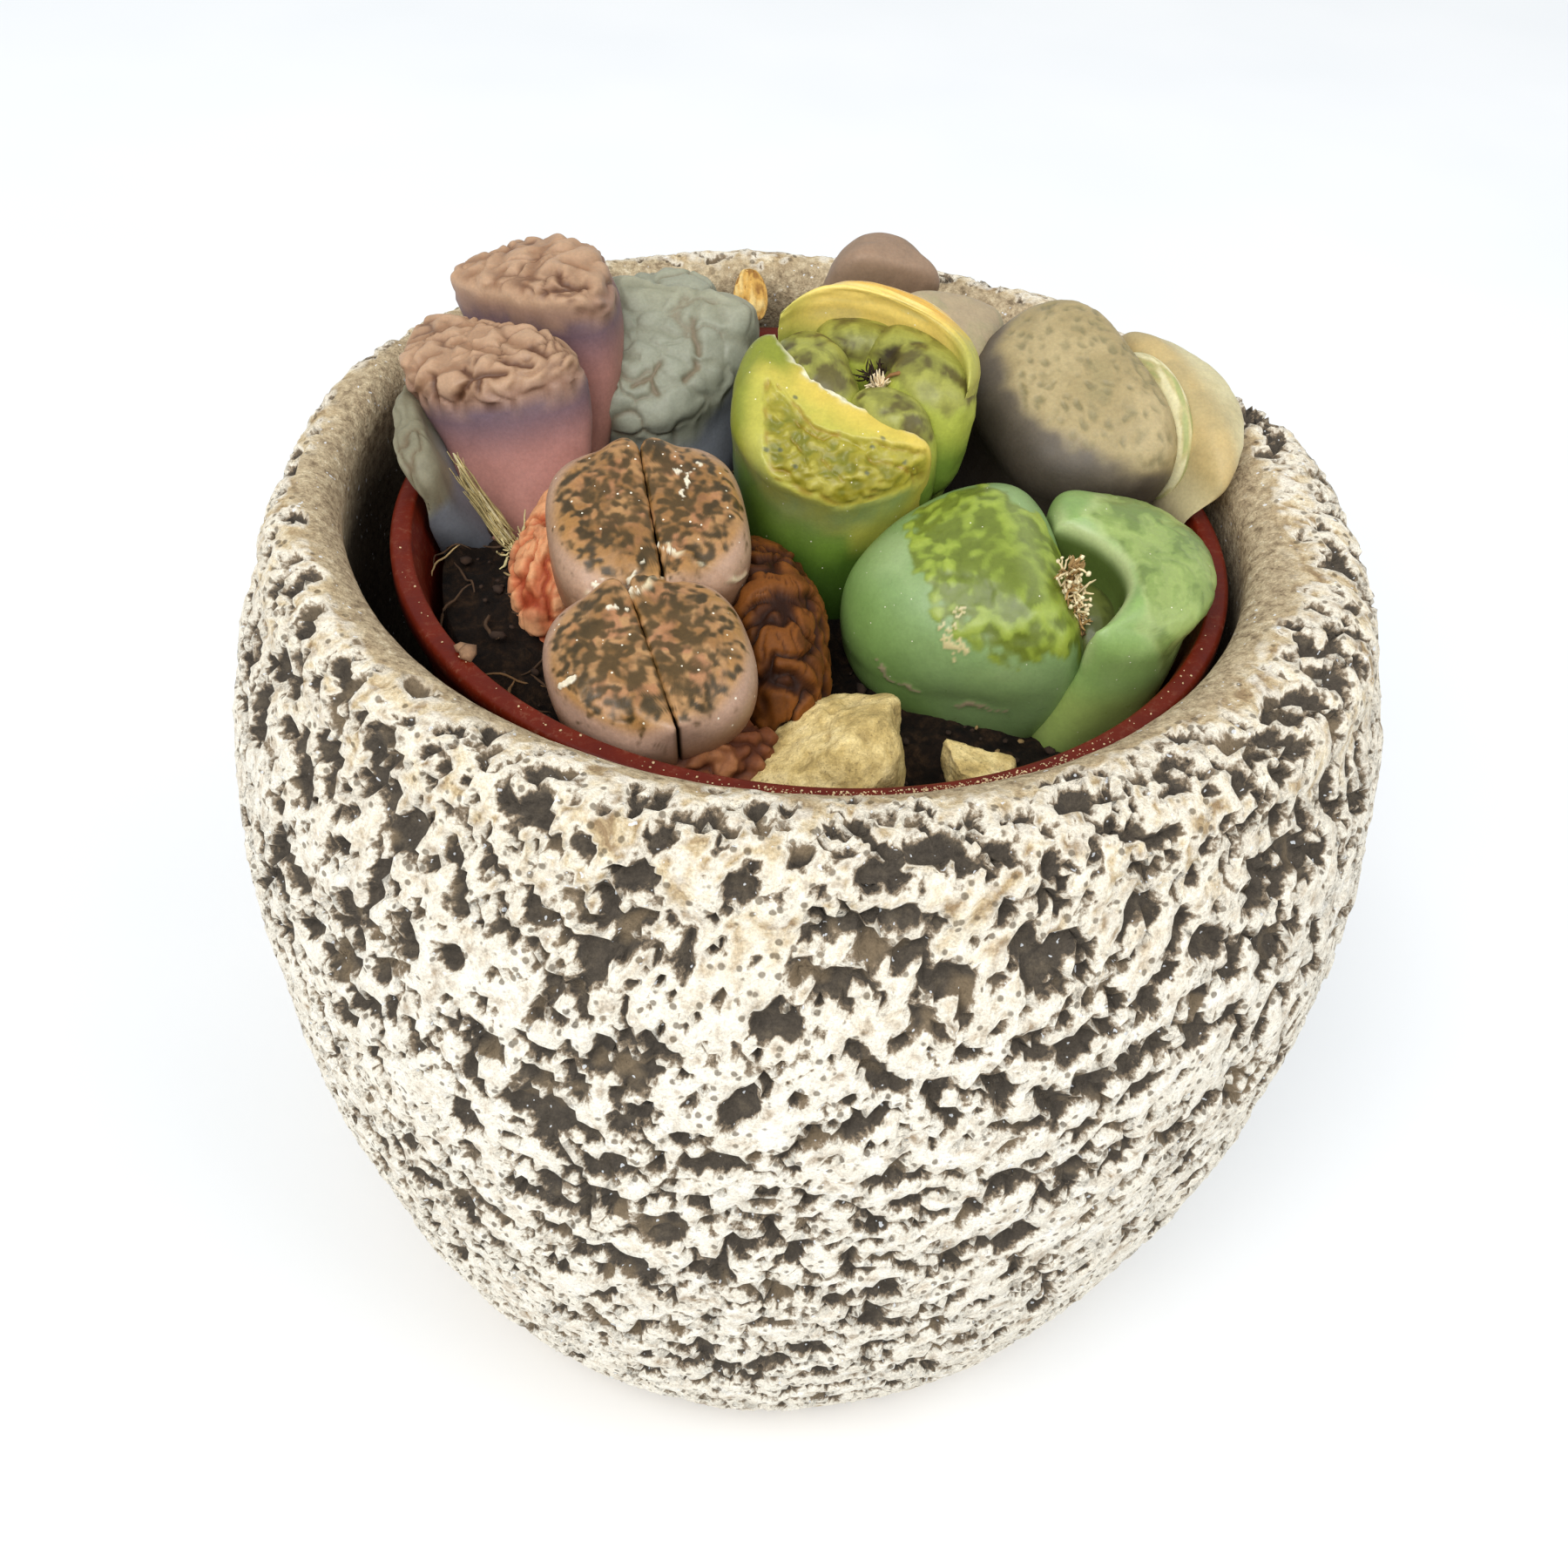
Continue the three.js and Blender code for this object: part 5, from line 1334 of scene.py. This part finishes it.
def old_leaves():
    """Shrivelled leaves: fat folds rise with |noise|, eased and to the power 0.8, so narrow
    creases wander where the noise is 0. The folds are longer upwards than across, and smaller
    ones ride on them."""
    finish = fleshy("old_leaf_skin", 0.55, 0.12, 0.02, inner=0.06, shine=0.2)
    for k, (node, (spec, (mid, pale, deep))) in enumerate(OLD_LEAVES.items()):
        around, rows = (130, 70) if node.endswith("front") else (184, 100)
        lobe = lobe_surface(**spec, around=around, rows=rows)
        skin = lobe.rings
        bent = drifted(skin, 2.4, 0.7, 717 + k)
        big = np.abs(noise(bent / [1, 1, 1.9], 1.45, 701 + 30 * k))
        small = np.abs(noise(drifted(skin, 1.0, 0.3, 727), 0.9, 721 + k))
        rise = ease(0.0, 0.42, big) ** 0.8
        fold = 0.8 * rise + 0.3 * ease(0.0, 0.35, small) * (0.4 + 0.6 * rise)
        patch = clouds(skin, 2.2, 2, 719 + k)
        tint = painted(
            skin, mid,
            # paler on the fold tops and darker in the creases: partly the dry skin's own colour,
            # partly painted highlight and painted shade
            (pale, ease(0.55, 1.05, fold + 0.25 * patch)),
            (deep, 0.85 * ease(0.5, 0.12, fold)),
            (deep, 0.45 * ease(0.2, 0.7, patch)),
        )
        move = 0.62 * fold - 0.45 + 0.35 * clouds(skin, 4.0, 2, salt=705)
        make_flesh(node, pushed(skin, move), finish, tint)


# ---- gravel ------------------------------------------------------------------------------

FACET_EDGE = 16  # how sharply two facets meet
PEBBLES = {  # the middle of each, and the bearing, slope and distance of its facets
    "pebble_front_large": ((1.0, -17.6, 62.0), [
        (180, -14, 7.0), (-95, 18, 4.3), (-40, -5, 5.0), (4, 10, 4.7), (70, 5, 4.2), (176, 58, 1.8),
        (128, 62, 2.1), (14, 64, 4.7), (-140, 44, 3.4), (-90, -62, 3.6), (60, -60, 3.6),
        (-60, 48, 4.3)]),
    "pebble_front_small": ((10.7, -16.8, 59.9), [
        (-165, 0, 1.7), (-95, 8, 1.5), (-15, 5, 1.9), (80, 5, 1.7), (0, 82, 1.1), (0, -85, 1.4)]),
    "pebble_right": ((23.2, -0.8, 63.0), [
        (-6, 4, 1.9), (75, 10, 3.4), (170, 0, 3.0), (-95, 5, 3.2), (20, 78, 3.6), (0, -80, 3.6)]),
}
PEBBLE_CRACKS = [
    [(1.2, -16.6, 66.2), (1.7, -17.8, 66.2), (2.3, -18.4, 65.9), (2.6, -19.4, 65.9),
     (3.6, -20.2, 65.0)],
    [(1.7, -17.8, 66.2), (0.8, -18.9, 65.6), (0.9, -20.2, 64.6)],
]


def pebble_finish():
    """Sandy ochre stone with patchy ochre stains, fine grain, dark cracks and dark pores."""
    made = Finish("sandy_stone", Roughness=0.92, Specular_IOR_Level=0.25)
    stain = made.noise(2.2, 4, 0.6, 0.4)
    grain = made.noise(0.16, 3, 0.7)
    base = made.ramp(stain, (0.3, "9a8554"), (0.45, "c2a96c"), (0.6, "e0c98c"), (0.75, "ecd9a4"))
    sandy = made.mix(1.0, base, made.spread(grain, 0.3, 0.7, 0.74, 1.2), "MULTIPLY")
    pores = made.math("GREATER_THAN", made.noise(0.3, 2, 0.6), 0.665)
    cracked = made.mix(made.math("MULTIPLY", made.mark("crack"), 0.55), sandy, "5f4f33")
    colour = made.mix(made.math("MULTIPLY", pores, 0.55), cracked, "7d6a45")
    return made.wear(
        Base_Color=colour, Normal=made.bump(grain, 0.05, made.bump(made.noise(0.9, 4, 0.6), 0.2))
    )


def pebbles():
    """Stones with softened facets: along each ray the reach is
    (sum of (facing / distance)^n)^(-1/n), then broken up by clouds of noise."""
    finish = pebble_finish()
    for k, (node, (centre, facets)) in enumerate(PEBBLES.items()):
        around, rows = (76, 48) if k else (132, 84)
        lift = np.linspace(-np.pi / 2, np.pi / 2, rows + 2)[1:-1, None]
        ray = pointing(all_round(around), lift)
        bearing, slope, distance = np.array(facets, float).T
        facing = pointing(np.radians(bearing), np.radians(slope))
        pull = np.maximum(0, ray @ facing.T) / distance
        reach = (pull**FACET_EDGE).sum(-1) ** (-1 / FACET_EDGE)
        rings = np.array(centre) + ray * reach[..., None]
        break_up = 0.32 * clouds(rings, 3.0, 5, salt=801 + k, rough=0.6) - 0.1
        crack = drawn(drifted(rings, 0.8, 0.2, 811), PEBBLE_CRACKS, 0.28)
        chips = ease(0.3, 0.6, clouds(rings, 1.3, 3, salt=821 + k)) * 0.16
        make_skin(node + "_rough", pushed(rings, break_up - 0.4 * crack - chips), finish,
                  [node], {"crack": np.clip(crack + 2 * chips, 0, 1)})


# ---- dry remains, roots and dust ---------------------------------------------------------


def dry_finish(name, roughness=0.85):
    """Dead plant matter and dust: the painted colour, speckled, with no gloss."""
    return fleshy(name, roughness, speckle=0.2, inner=0.02, inner_colour=(0.9, 0.7, 0.5))


def curled(starts, ways, lengths, chance, curl, steps):
    """Wandering paths: each step turns the way ahead a little at random, and the turns add up."""
    turns = chance.normal(0, curl, (len(starts), steps, 3)).cumsum(1)
    ahead = np.asarray(ways)[:, None] + turns
    ahead *= (lengths / steps)[:, None, None] / np.linalg.norm(ahead, axis=-1, keepdims=True)
    ahead[:, 0] = 0
    return starts[:, None] + ahead.cumsum(1)


def along_path(line, count, wander, chance, steps=16):
    """Threads beside a line, each over its own part of it and shifted by smooth noise."""
    line = np.array(line, float)
    first, last = chance.uniform(0, 0.45, count), chance.uniform(0.55, 1, count)
    t = first[:, None] + (last - first)[:, None] * np.linspace(0, 1, steps)
    place = t * (len(line) - 1)
    paths = np.stack([np.interp(place, np.arange(len(line)), line[:, i]) for i in range(3)], -1)
    shift = chance.normal(0, wander, (count, 1, 3))
    apart = paths + 9 * np.arange(count)[:, None, None]
    sway = np.stack([noise(apart, 1.4, 900 + i) for i in range(3)], -1)
    return paths + shift + 0.7 * wander * sway


def strands(paths, radius, sides=4, flat=1.0):
    """Threads whose radius shrinks to both ends as sin(pi t)^0.5."""
    t = np.linspace(0.03, 0.97, paths.shape[1])
    radii = np.full(len(paths), radius)[:, None] * np.sin(np.pi * t) ** 0.5
    return threads(paths, radii, sides, flat)


def tuft(starts, ways, lengths, chance, curl, radius, sides=4, flat=1.0, steps=6):
    """Short curled strands of random length between two lengths."""
    lengths = chance.uniform(*lengths, len(starts))
    return strands(curled(starts, ways, lengths, chance, curl, steps), radius, sides, flat)


def make_litter(name, finish, stands_for, parts, pressed=False):
    """Several meshes as one piece, the colour of each kept as a mark with a little variety. It
    may be pressed in from the rims."""
    points, faces, tints, first = [], [], [], 0
    for (spots, shapes), code in parts:
        points.append(spots)
        faces += [[corner + first for corner in face] for face in shapes]
        shade = 1 + 0.25 * noise(spots, 0.7, 911)[:, None]
        tints.append(np.clip(paint(code) * shade, 0, 1))
        first += len(spots)
    points = press_in(np.concatenate(points)) if pressed else np.concatenate(points)
    marks = {"tint": np.concatenate(tints)}
    make_piece(name, points, faces, finish, stands_for, marks)


def yellow_flower_remains():
    """What is left of a flower between the young leaves: a pale bristly tuft, dark scraps
    behind it and one brown curl."""
    chance = np.random.default_rng(31)
    ways = chance.normal(0, 0.6, (46, 3)) + [0.1, -0.4, 1.0]
    starts = np.array([2.7, 4.6, 73.9]) + chance.normal(0, 0.2, (46, 3))
    bristles = tuft(starts, ways, (1.0, 1.9), chance, 0.2, 0.09)
    ways = chance.normal(0, 0.7, (30, 3)) + [-0.3, 0.6, 0.6]
    starts = np.array([2.4, 5.6, 74.0]) + chance.normal(0, 0.28, (30, 3))
    scraps = tuft(starts, ways, (0.8, 2.0), chance, 0.4, 0.12, flat=0.5)
    curl = strands(np.array([[(2.9, 4.5, 74.6), (3.3, 4.2, 75.2), (3.8, 4.2, 75.4),
                              (4.1, 4.6, 75.2), (4.0, 5.0, 74.9)]]), 0.15, 6)
    make_litter("yellow_flower_remains", dry_finish("dry_flower_skin"),
                ["yellow_flower_stub"],
                [(bristles, "f0ddb8"), (scraps, "2e1d12"), (curl, "8a6238")])


def green_flower_remains():
    """A withered flower in the open mouth of the green head: a tan cap, a dense tuft of curly
    threads with pollen at their tips, and a brown shrivelled end."""
    chance = np.random.default_rng(37)
    count, pale_ones, dusty_ones = 120, 84, 70
    t = chance.uniform(0, 1, count)[:, None]
    line = np.array([15.1, -7.9, 69.5]) * (1 - t) + np.array([16.3, -8.7, 66.0]) * t
    starts = line + chance.normal(0, 0.3, (count, 3))
    ways = chance.normal(0, 0.6, (count, 3)) + [0.15, -0.75, 0.15]
    paths = curled(starts, ways, chance.uniform(0.9, 1.7, count), chance, 0.3, 7)
    pale, brown = strands(paths[:pale_ones], 0.08), strands(paths[pale_ones:], 0.09)
    tips = paths[:dusty_ones, -1]
    pollen = crumbs(tips, chance.uniform(0.10, 0.2, dusty_ones), chance, 1)
    starts = np.array([15.3, -8.0, 69.7]) + chance.normal(0, 0.14, (26, 3))
    ways = chance.normal(0, 0.45, (26, 3)) + [-0.1, -0.2, 1.0]
    cap = tuft(starts, ways, (0.7, 1.3), chance, 0.25, 0.14, 5, 0.45)
    starts = np.array([16.4, -9.0, 66.2]) + chance.normal(0, 0.22, (24, 3))
    ways = chance.normal(0, 0.5, (24, 3)) + [0.1, -0.2, -1.0]
    end = tuft(starts, ways, (0.7, 1.4), chance, 0.35, 0.16, 5, 0.5)
    core = strands(np.array([[(15.2, -7.6, 69.6), (15.6, -7.9, 68.2), (16.2, -8.3, 66.2)]]), 0.5, 8)
    make_litter("green_flower_remains", dry_finish("dry_threads"),
                ["green_flower_stub"],
                [(pale, "ead6a8"), (brown, "b08a55"), (pollen, "f2e2b8"), (cap, "a08254"),
                 (end, "6e5330"), (core, "7d6136")])


SHEATH = [(-24.6, -0.6, 69.4), (-23.5, -0.8, 67.4), (-22.2, -1.0, 65.4), (-21.2, -1.4, 64.2),
          (-20.2, -2.0, 63.4)]


def dry_sheaths():
    """Old papery skins: fibres beside the pink stem that fray at its foot, and a torn film at
    the slate leaf."""
    chance = np.random.default_rng(41)
    shares = ((54, 0.3), (12, 0.22), (5, 0.12))
    fine, broad, film = (along_path(SHEATH, count, wander, chance) for count, wander in shares)
    ends = curled(np.array(SHEATH[-1]) + chance.normal(0, 0.5, (22, 3)),
                  chance.normal(0, 0.6, (22, 3)) + [0.4, -0.3, 0.0],
                  chance.uniform(1.0, 2.2, 22), chance, 0.3, 16)
    make_litter("small_slate_dry_fibres", dry_finish("papery_sheath"),
                ["small_slate_dry_sheath"],
                [(strands(fine, 0.07), "b5a470"), (strands(broad, 0.14, 5, 0.4), "8f7d4e"),
                 (strands(film, 0.5, 8, 0.25), "d6ca9e"), (strands(ends, 0.12, 5, 0.6), "cfc08c")])

    torn = [[(-18.9, 4.6, 65.2), (-18.7, 4.8, 66.3), (-18.3, 5.1, 67.4), (-17.7, 5.8, 68.4),
             (-17.0, 6.6, 68.9)]]
    film = threads(np.array(torn), np.array([[0.1, 0.3, 0.36, 0.26, 0.08]]), 8, 0.2)
    edge = strands(drifted(np.array(torn * 3), 1.0, 0.3, 931), 0.07)
    make_litter("slate_torn_film", dry_finish("torn_film"), (),
                [(film, "b9b49c"), (edge, "dcd2b4")])


def withered_leaf():
    """One shrunken ochre leaf lying behind the heads, wrinkled lengthwise."""
    lobe = lobe_surface(centre=(-7.5, 29.0, 68.4), size=(2.5, 1.4, 0.8), turn=101, tilt=30,
                        toward=-79, around=76, rows=40)
    fold = clouds(lobe.local * [0.35, 1.5, 1.5], 0.8, 3, salt=941)
    tint = painted(
        lobe.rings, "cfa253",
        ("ecd08c", 0.7 * ease(0.0, 0.6, fold)),
        ("8a5c2a", 0.8 * ease(0.1, 0.6, -fold)),
    )
    make_skin("withered_leaf_shrivelled", pushed(lobe.rings, 0.16 * fold),
              dry_finish("withered_skin"), ["withered_leaf"], {"tint": tint})


def on_soil(bearing, least, most, count, chance):
    """x and y of places strewn evenly over a sector of the soil."""
    share, bearing = np.sqrt(chance.uniform(least, most, count)), chance.uniform(*bearing, count)
    return round_liner(share * liner_inside(SOIL_LEVEL), bearing)


def soil_litter():
    """Loose crumbs on the soil, some pale, and fine roots that wind between them."""
    chance = np.random.default_rng(43)
    count, dark_ones = 520, 430
    x, y = on_soil((-np.pi, np.pi), 0.02, 0.93, count, chance)
    spots = np.stack([x, y, soil_height(x, y) + chance.uniform(0.3, 0.9, count)], -1)
    sizes = 0.16 + 0.5 * chance.uniform(0, 1, count) ** 3
    dark = crumbs(spots[:dark_ones], sizes[:dark_ones], chance)
    pale = crumbs(spots[dark_ones:], sizes[dark_ones:] * 0.7, chance)
    make_litter("soil_crumbs", dry_finish("soil_crumb", 0.95), (),
                [(dark, "33241a"), (pale, "8a7048")], pressed=True)

    count = 110
    x, y = on_soil((1.9, 4.9), 0.3, 0.9, count, chance)
    ways = chance.normal(0, 1, (count, 3)) * [1, 1, 0.25]
    starts = np.stack([x, y, 0 * x], -1)
    paths = curled(starts, ways, chance.uniform(2.5, 7, count), chance, 0.28, 14)
    lift = 0.75 + 0.45 * noise(paths + 5, 1.6, 961)
    paths[..., 2] = soil_height(paths[..., 0], paths[..., 1]) + lift
    paths = press_in(paths)
    radius = chance.uniform(0.06, 0.14, count)
    shares = ((slice(0, 60), "4a3522"), (slice(60, 90), "7a5a38"), (slice(90, count), "a88f62"))
    make_litter("soil_fibres", dry_finish("root_fibre"), (),
                [(strands(paths[part], radius[part], 5), code) for part, code in shares])


def rim_dust():
    """Sand grains on the nursery pot's flange, thickest in front on the right, and a larger chip
    of soil on the left."""
    chance = np.random.default_rng(47)
    near = np.radians(chance.normal(-74, 12, 420))
    wide = np.radians(chance.uniform(-170, -15, 70))
    bearing = np.concatenate([near, wide])
    radius = chance.uniform(RIM_INNER + 0.35, RIM_RADIUS - 0.45, len(bearing))
    height = np.full(len(bearing), RIM_TOP + 0.02)
    spots = np.stack([*round_liner(radius, bearing), height], -1)
    sizes = 0.03 + 0.06 * chance.uniform(0, 1, len(bearing)) ** 2
    chip = crumbs(np.array([[-20.4, -17.0, RIM_TOP + 0.25], [-20.8, -16.6, RIM_TOP + 0.2]]),
                  np.array([0.55, 0.4]), chance)
    make_litter("rim_dust_grains", dry_finish("sand_grain", 0.8), (),
                [(crumbs(spots, sizes, chance), "d2b88e"), (chip, "8d6c50")])


# ---- roots -------------------------------------------------------------------------------


def root_material():
    """Bark-brown tap roots, ringed and ridged lengthwise; they are hidden in the soil."""
    made = Finish("root_bark", Roughness=0.9)
    bark = made.noise(0.8, 4, 0.6, 0.3, stretch=(1, 1, 0.3))
    colour = made.ramp(bark, (0.3, "4a3423"), (0.7, "8a6a4a"))
    finish = made.wear(Base_Color=colour, Normal=made.bump(bark, 0.2))
    for node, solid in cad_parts.items():
        if node.endswith("_root"):
            solid.data.materials.clear()
            solid.data.materials.append(finish)


# ---- studio ------------------------------------------------------------------------------


FLOOR_REACH = 3000
AIM = (0, 0, 55)
LIGHTS = {  # place, width in millimetres and watts
    "window": ((-330, -760, 980), 900, 12.5),
    "fill": ((700, -300, 900), 700, 3.0),
}
SKY, SKY_STRENGTH = (0.95, 0.98, 1.0, 1), 0.62
LENS_MM, SENSOR_MM = 40, 36
CAMERA_PLACE = (-1.17, -97.45, 130.16)
CAMERA_ACROSS, CAMERA_BACK = (0.9960, 0.0599, 0.0669), (0.0, -0.7449, 0.6672)


def link(name, data):
    """An object of the studio, put in the scene."""
    made = bpy.data.objects.new(name, data)
    bpy.context.collection.objects.link(made)
    return made


def studio():
    """A pale floor, a big soft light high on the left, a weaker one on the right, a white sky
    and the camera."""
    made = Finish("pale_floor", Roughness=0.85, Specular_IOR_Level=0.2)
    cloud = made.noise(60, 2, 0.5)
    mesh = bpy.data.meshes.new("floor")
    reach = FLOOR_REACH * MM
    corners = [(-reach, -reach, 0), (reach, -reach, 0), (reach, reach, 0), (-reach, reach, 0)]
    mesh.from_pydata(corners, [], [[0, 1, 2, 3]])
    mesh.materials.append(made.wear(Base_Color=made.ramp(cloud, (0.3, "f1f3f5"), (0.7, "f6f7f8"))))
    link("floor", mesh)

    world = bpy.data.worlds.new("white_sky")
    world.use_nodes = True
    sky = world.node_tree.nodes["Background"].inputs
    sky["Color"].default_value, sky["Strength"].default_value = SKY, SKY_STRENGTH
    bpy.context.scene.world = world

    for name, (place, size, power) in LIGHTS.items():
        light = bpy.data.lights.new(name, "AREA")
        light.size, light.energy = size * MM, power
        lamp = link(name, light)
        lamp.location = np.array(place) * MM
        lamp.rotation_mode = "QUATERNION"
        ahead = Vector(np.array(AIM) - np.array(place))
        lamp.rotation_quaternion = ahead.to_track_quat("-Z", "Y")

    lens = bpy.data.cameras.new("camera")
    lens.lens, lens.sensor_width = LENS_MM, SENSOR_MM
    lens.clip_start, lens.clip_end = 0.005, 10
    across, back = np.array(CAMERA_ACROSS), np.array(CAMERA_BACK)
    back -= (back @ across) * across
    back /= np.linalg.norm(back)
    across /= np.linalg.norm(across)
    matrix = np.eye(4)
    matrix[:3, :3] = np.stack([across, np.cross(back, across), back], 1)
    matrix[:3, 3] = np.array(CAMERA_PLACE) * MM
    camera = link("camera", lens)
    camera.matrix_world = Matrix(matrix.tolist())
    bpy.context.scene.camera = camera
    bpy.context.scene.view_settings.view_transform = "Standard"


stone_pot()
nursery_pot()
soil_body()
brown_heads()
pink_head()
slate_heads()
yellow_old_leaves()
new_leaves()
green_head()
tan_head()
mauve_head()
old_leaves()
pebbles()
yellow_flower_remains()
green_flower_remains()
dry_sheaths()
withered_leaf()
soil_litter()
rim_dust()
root_material()
studio()
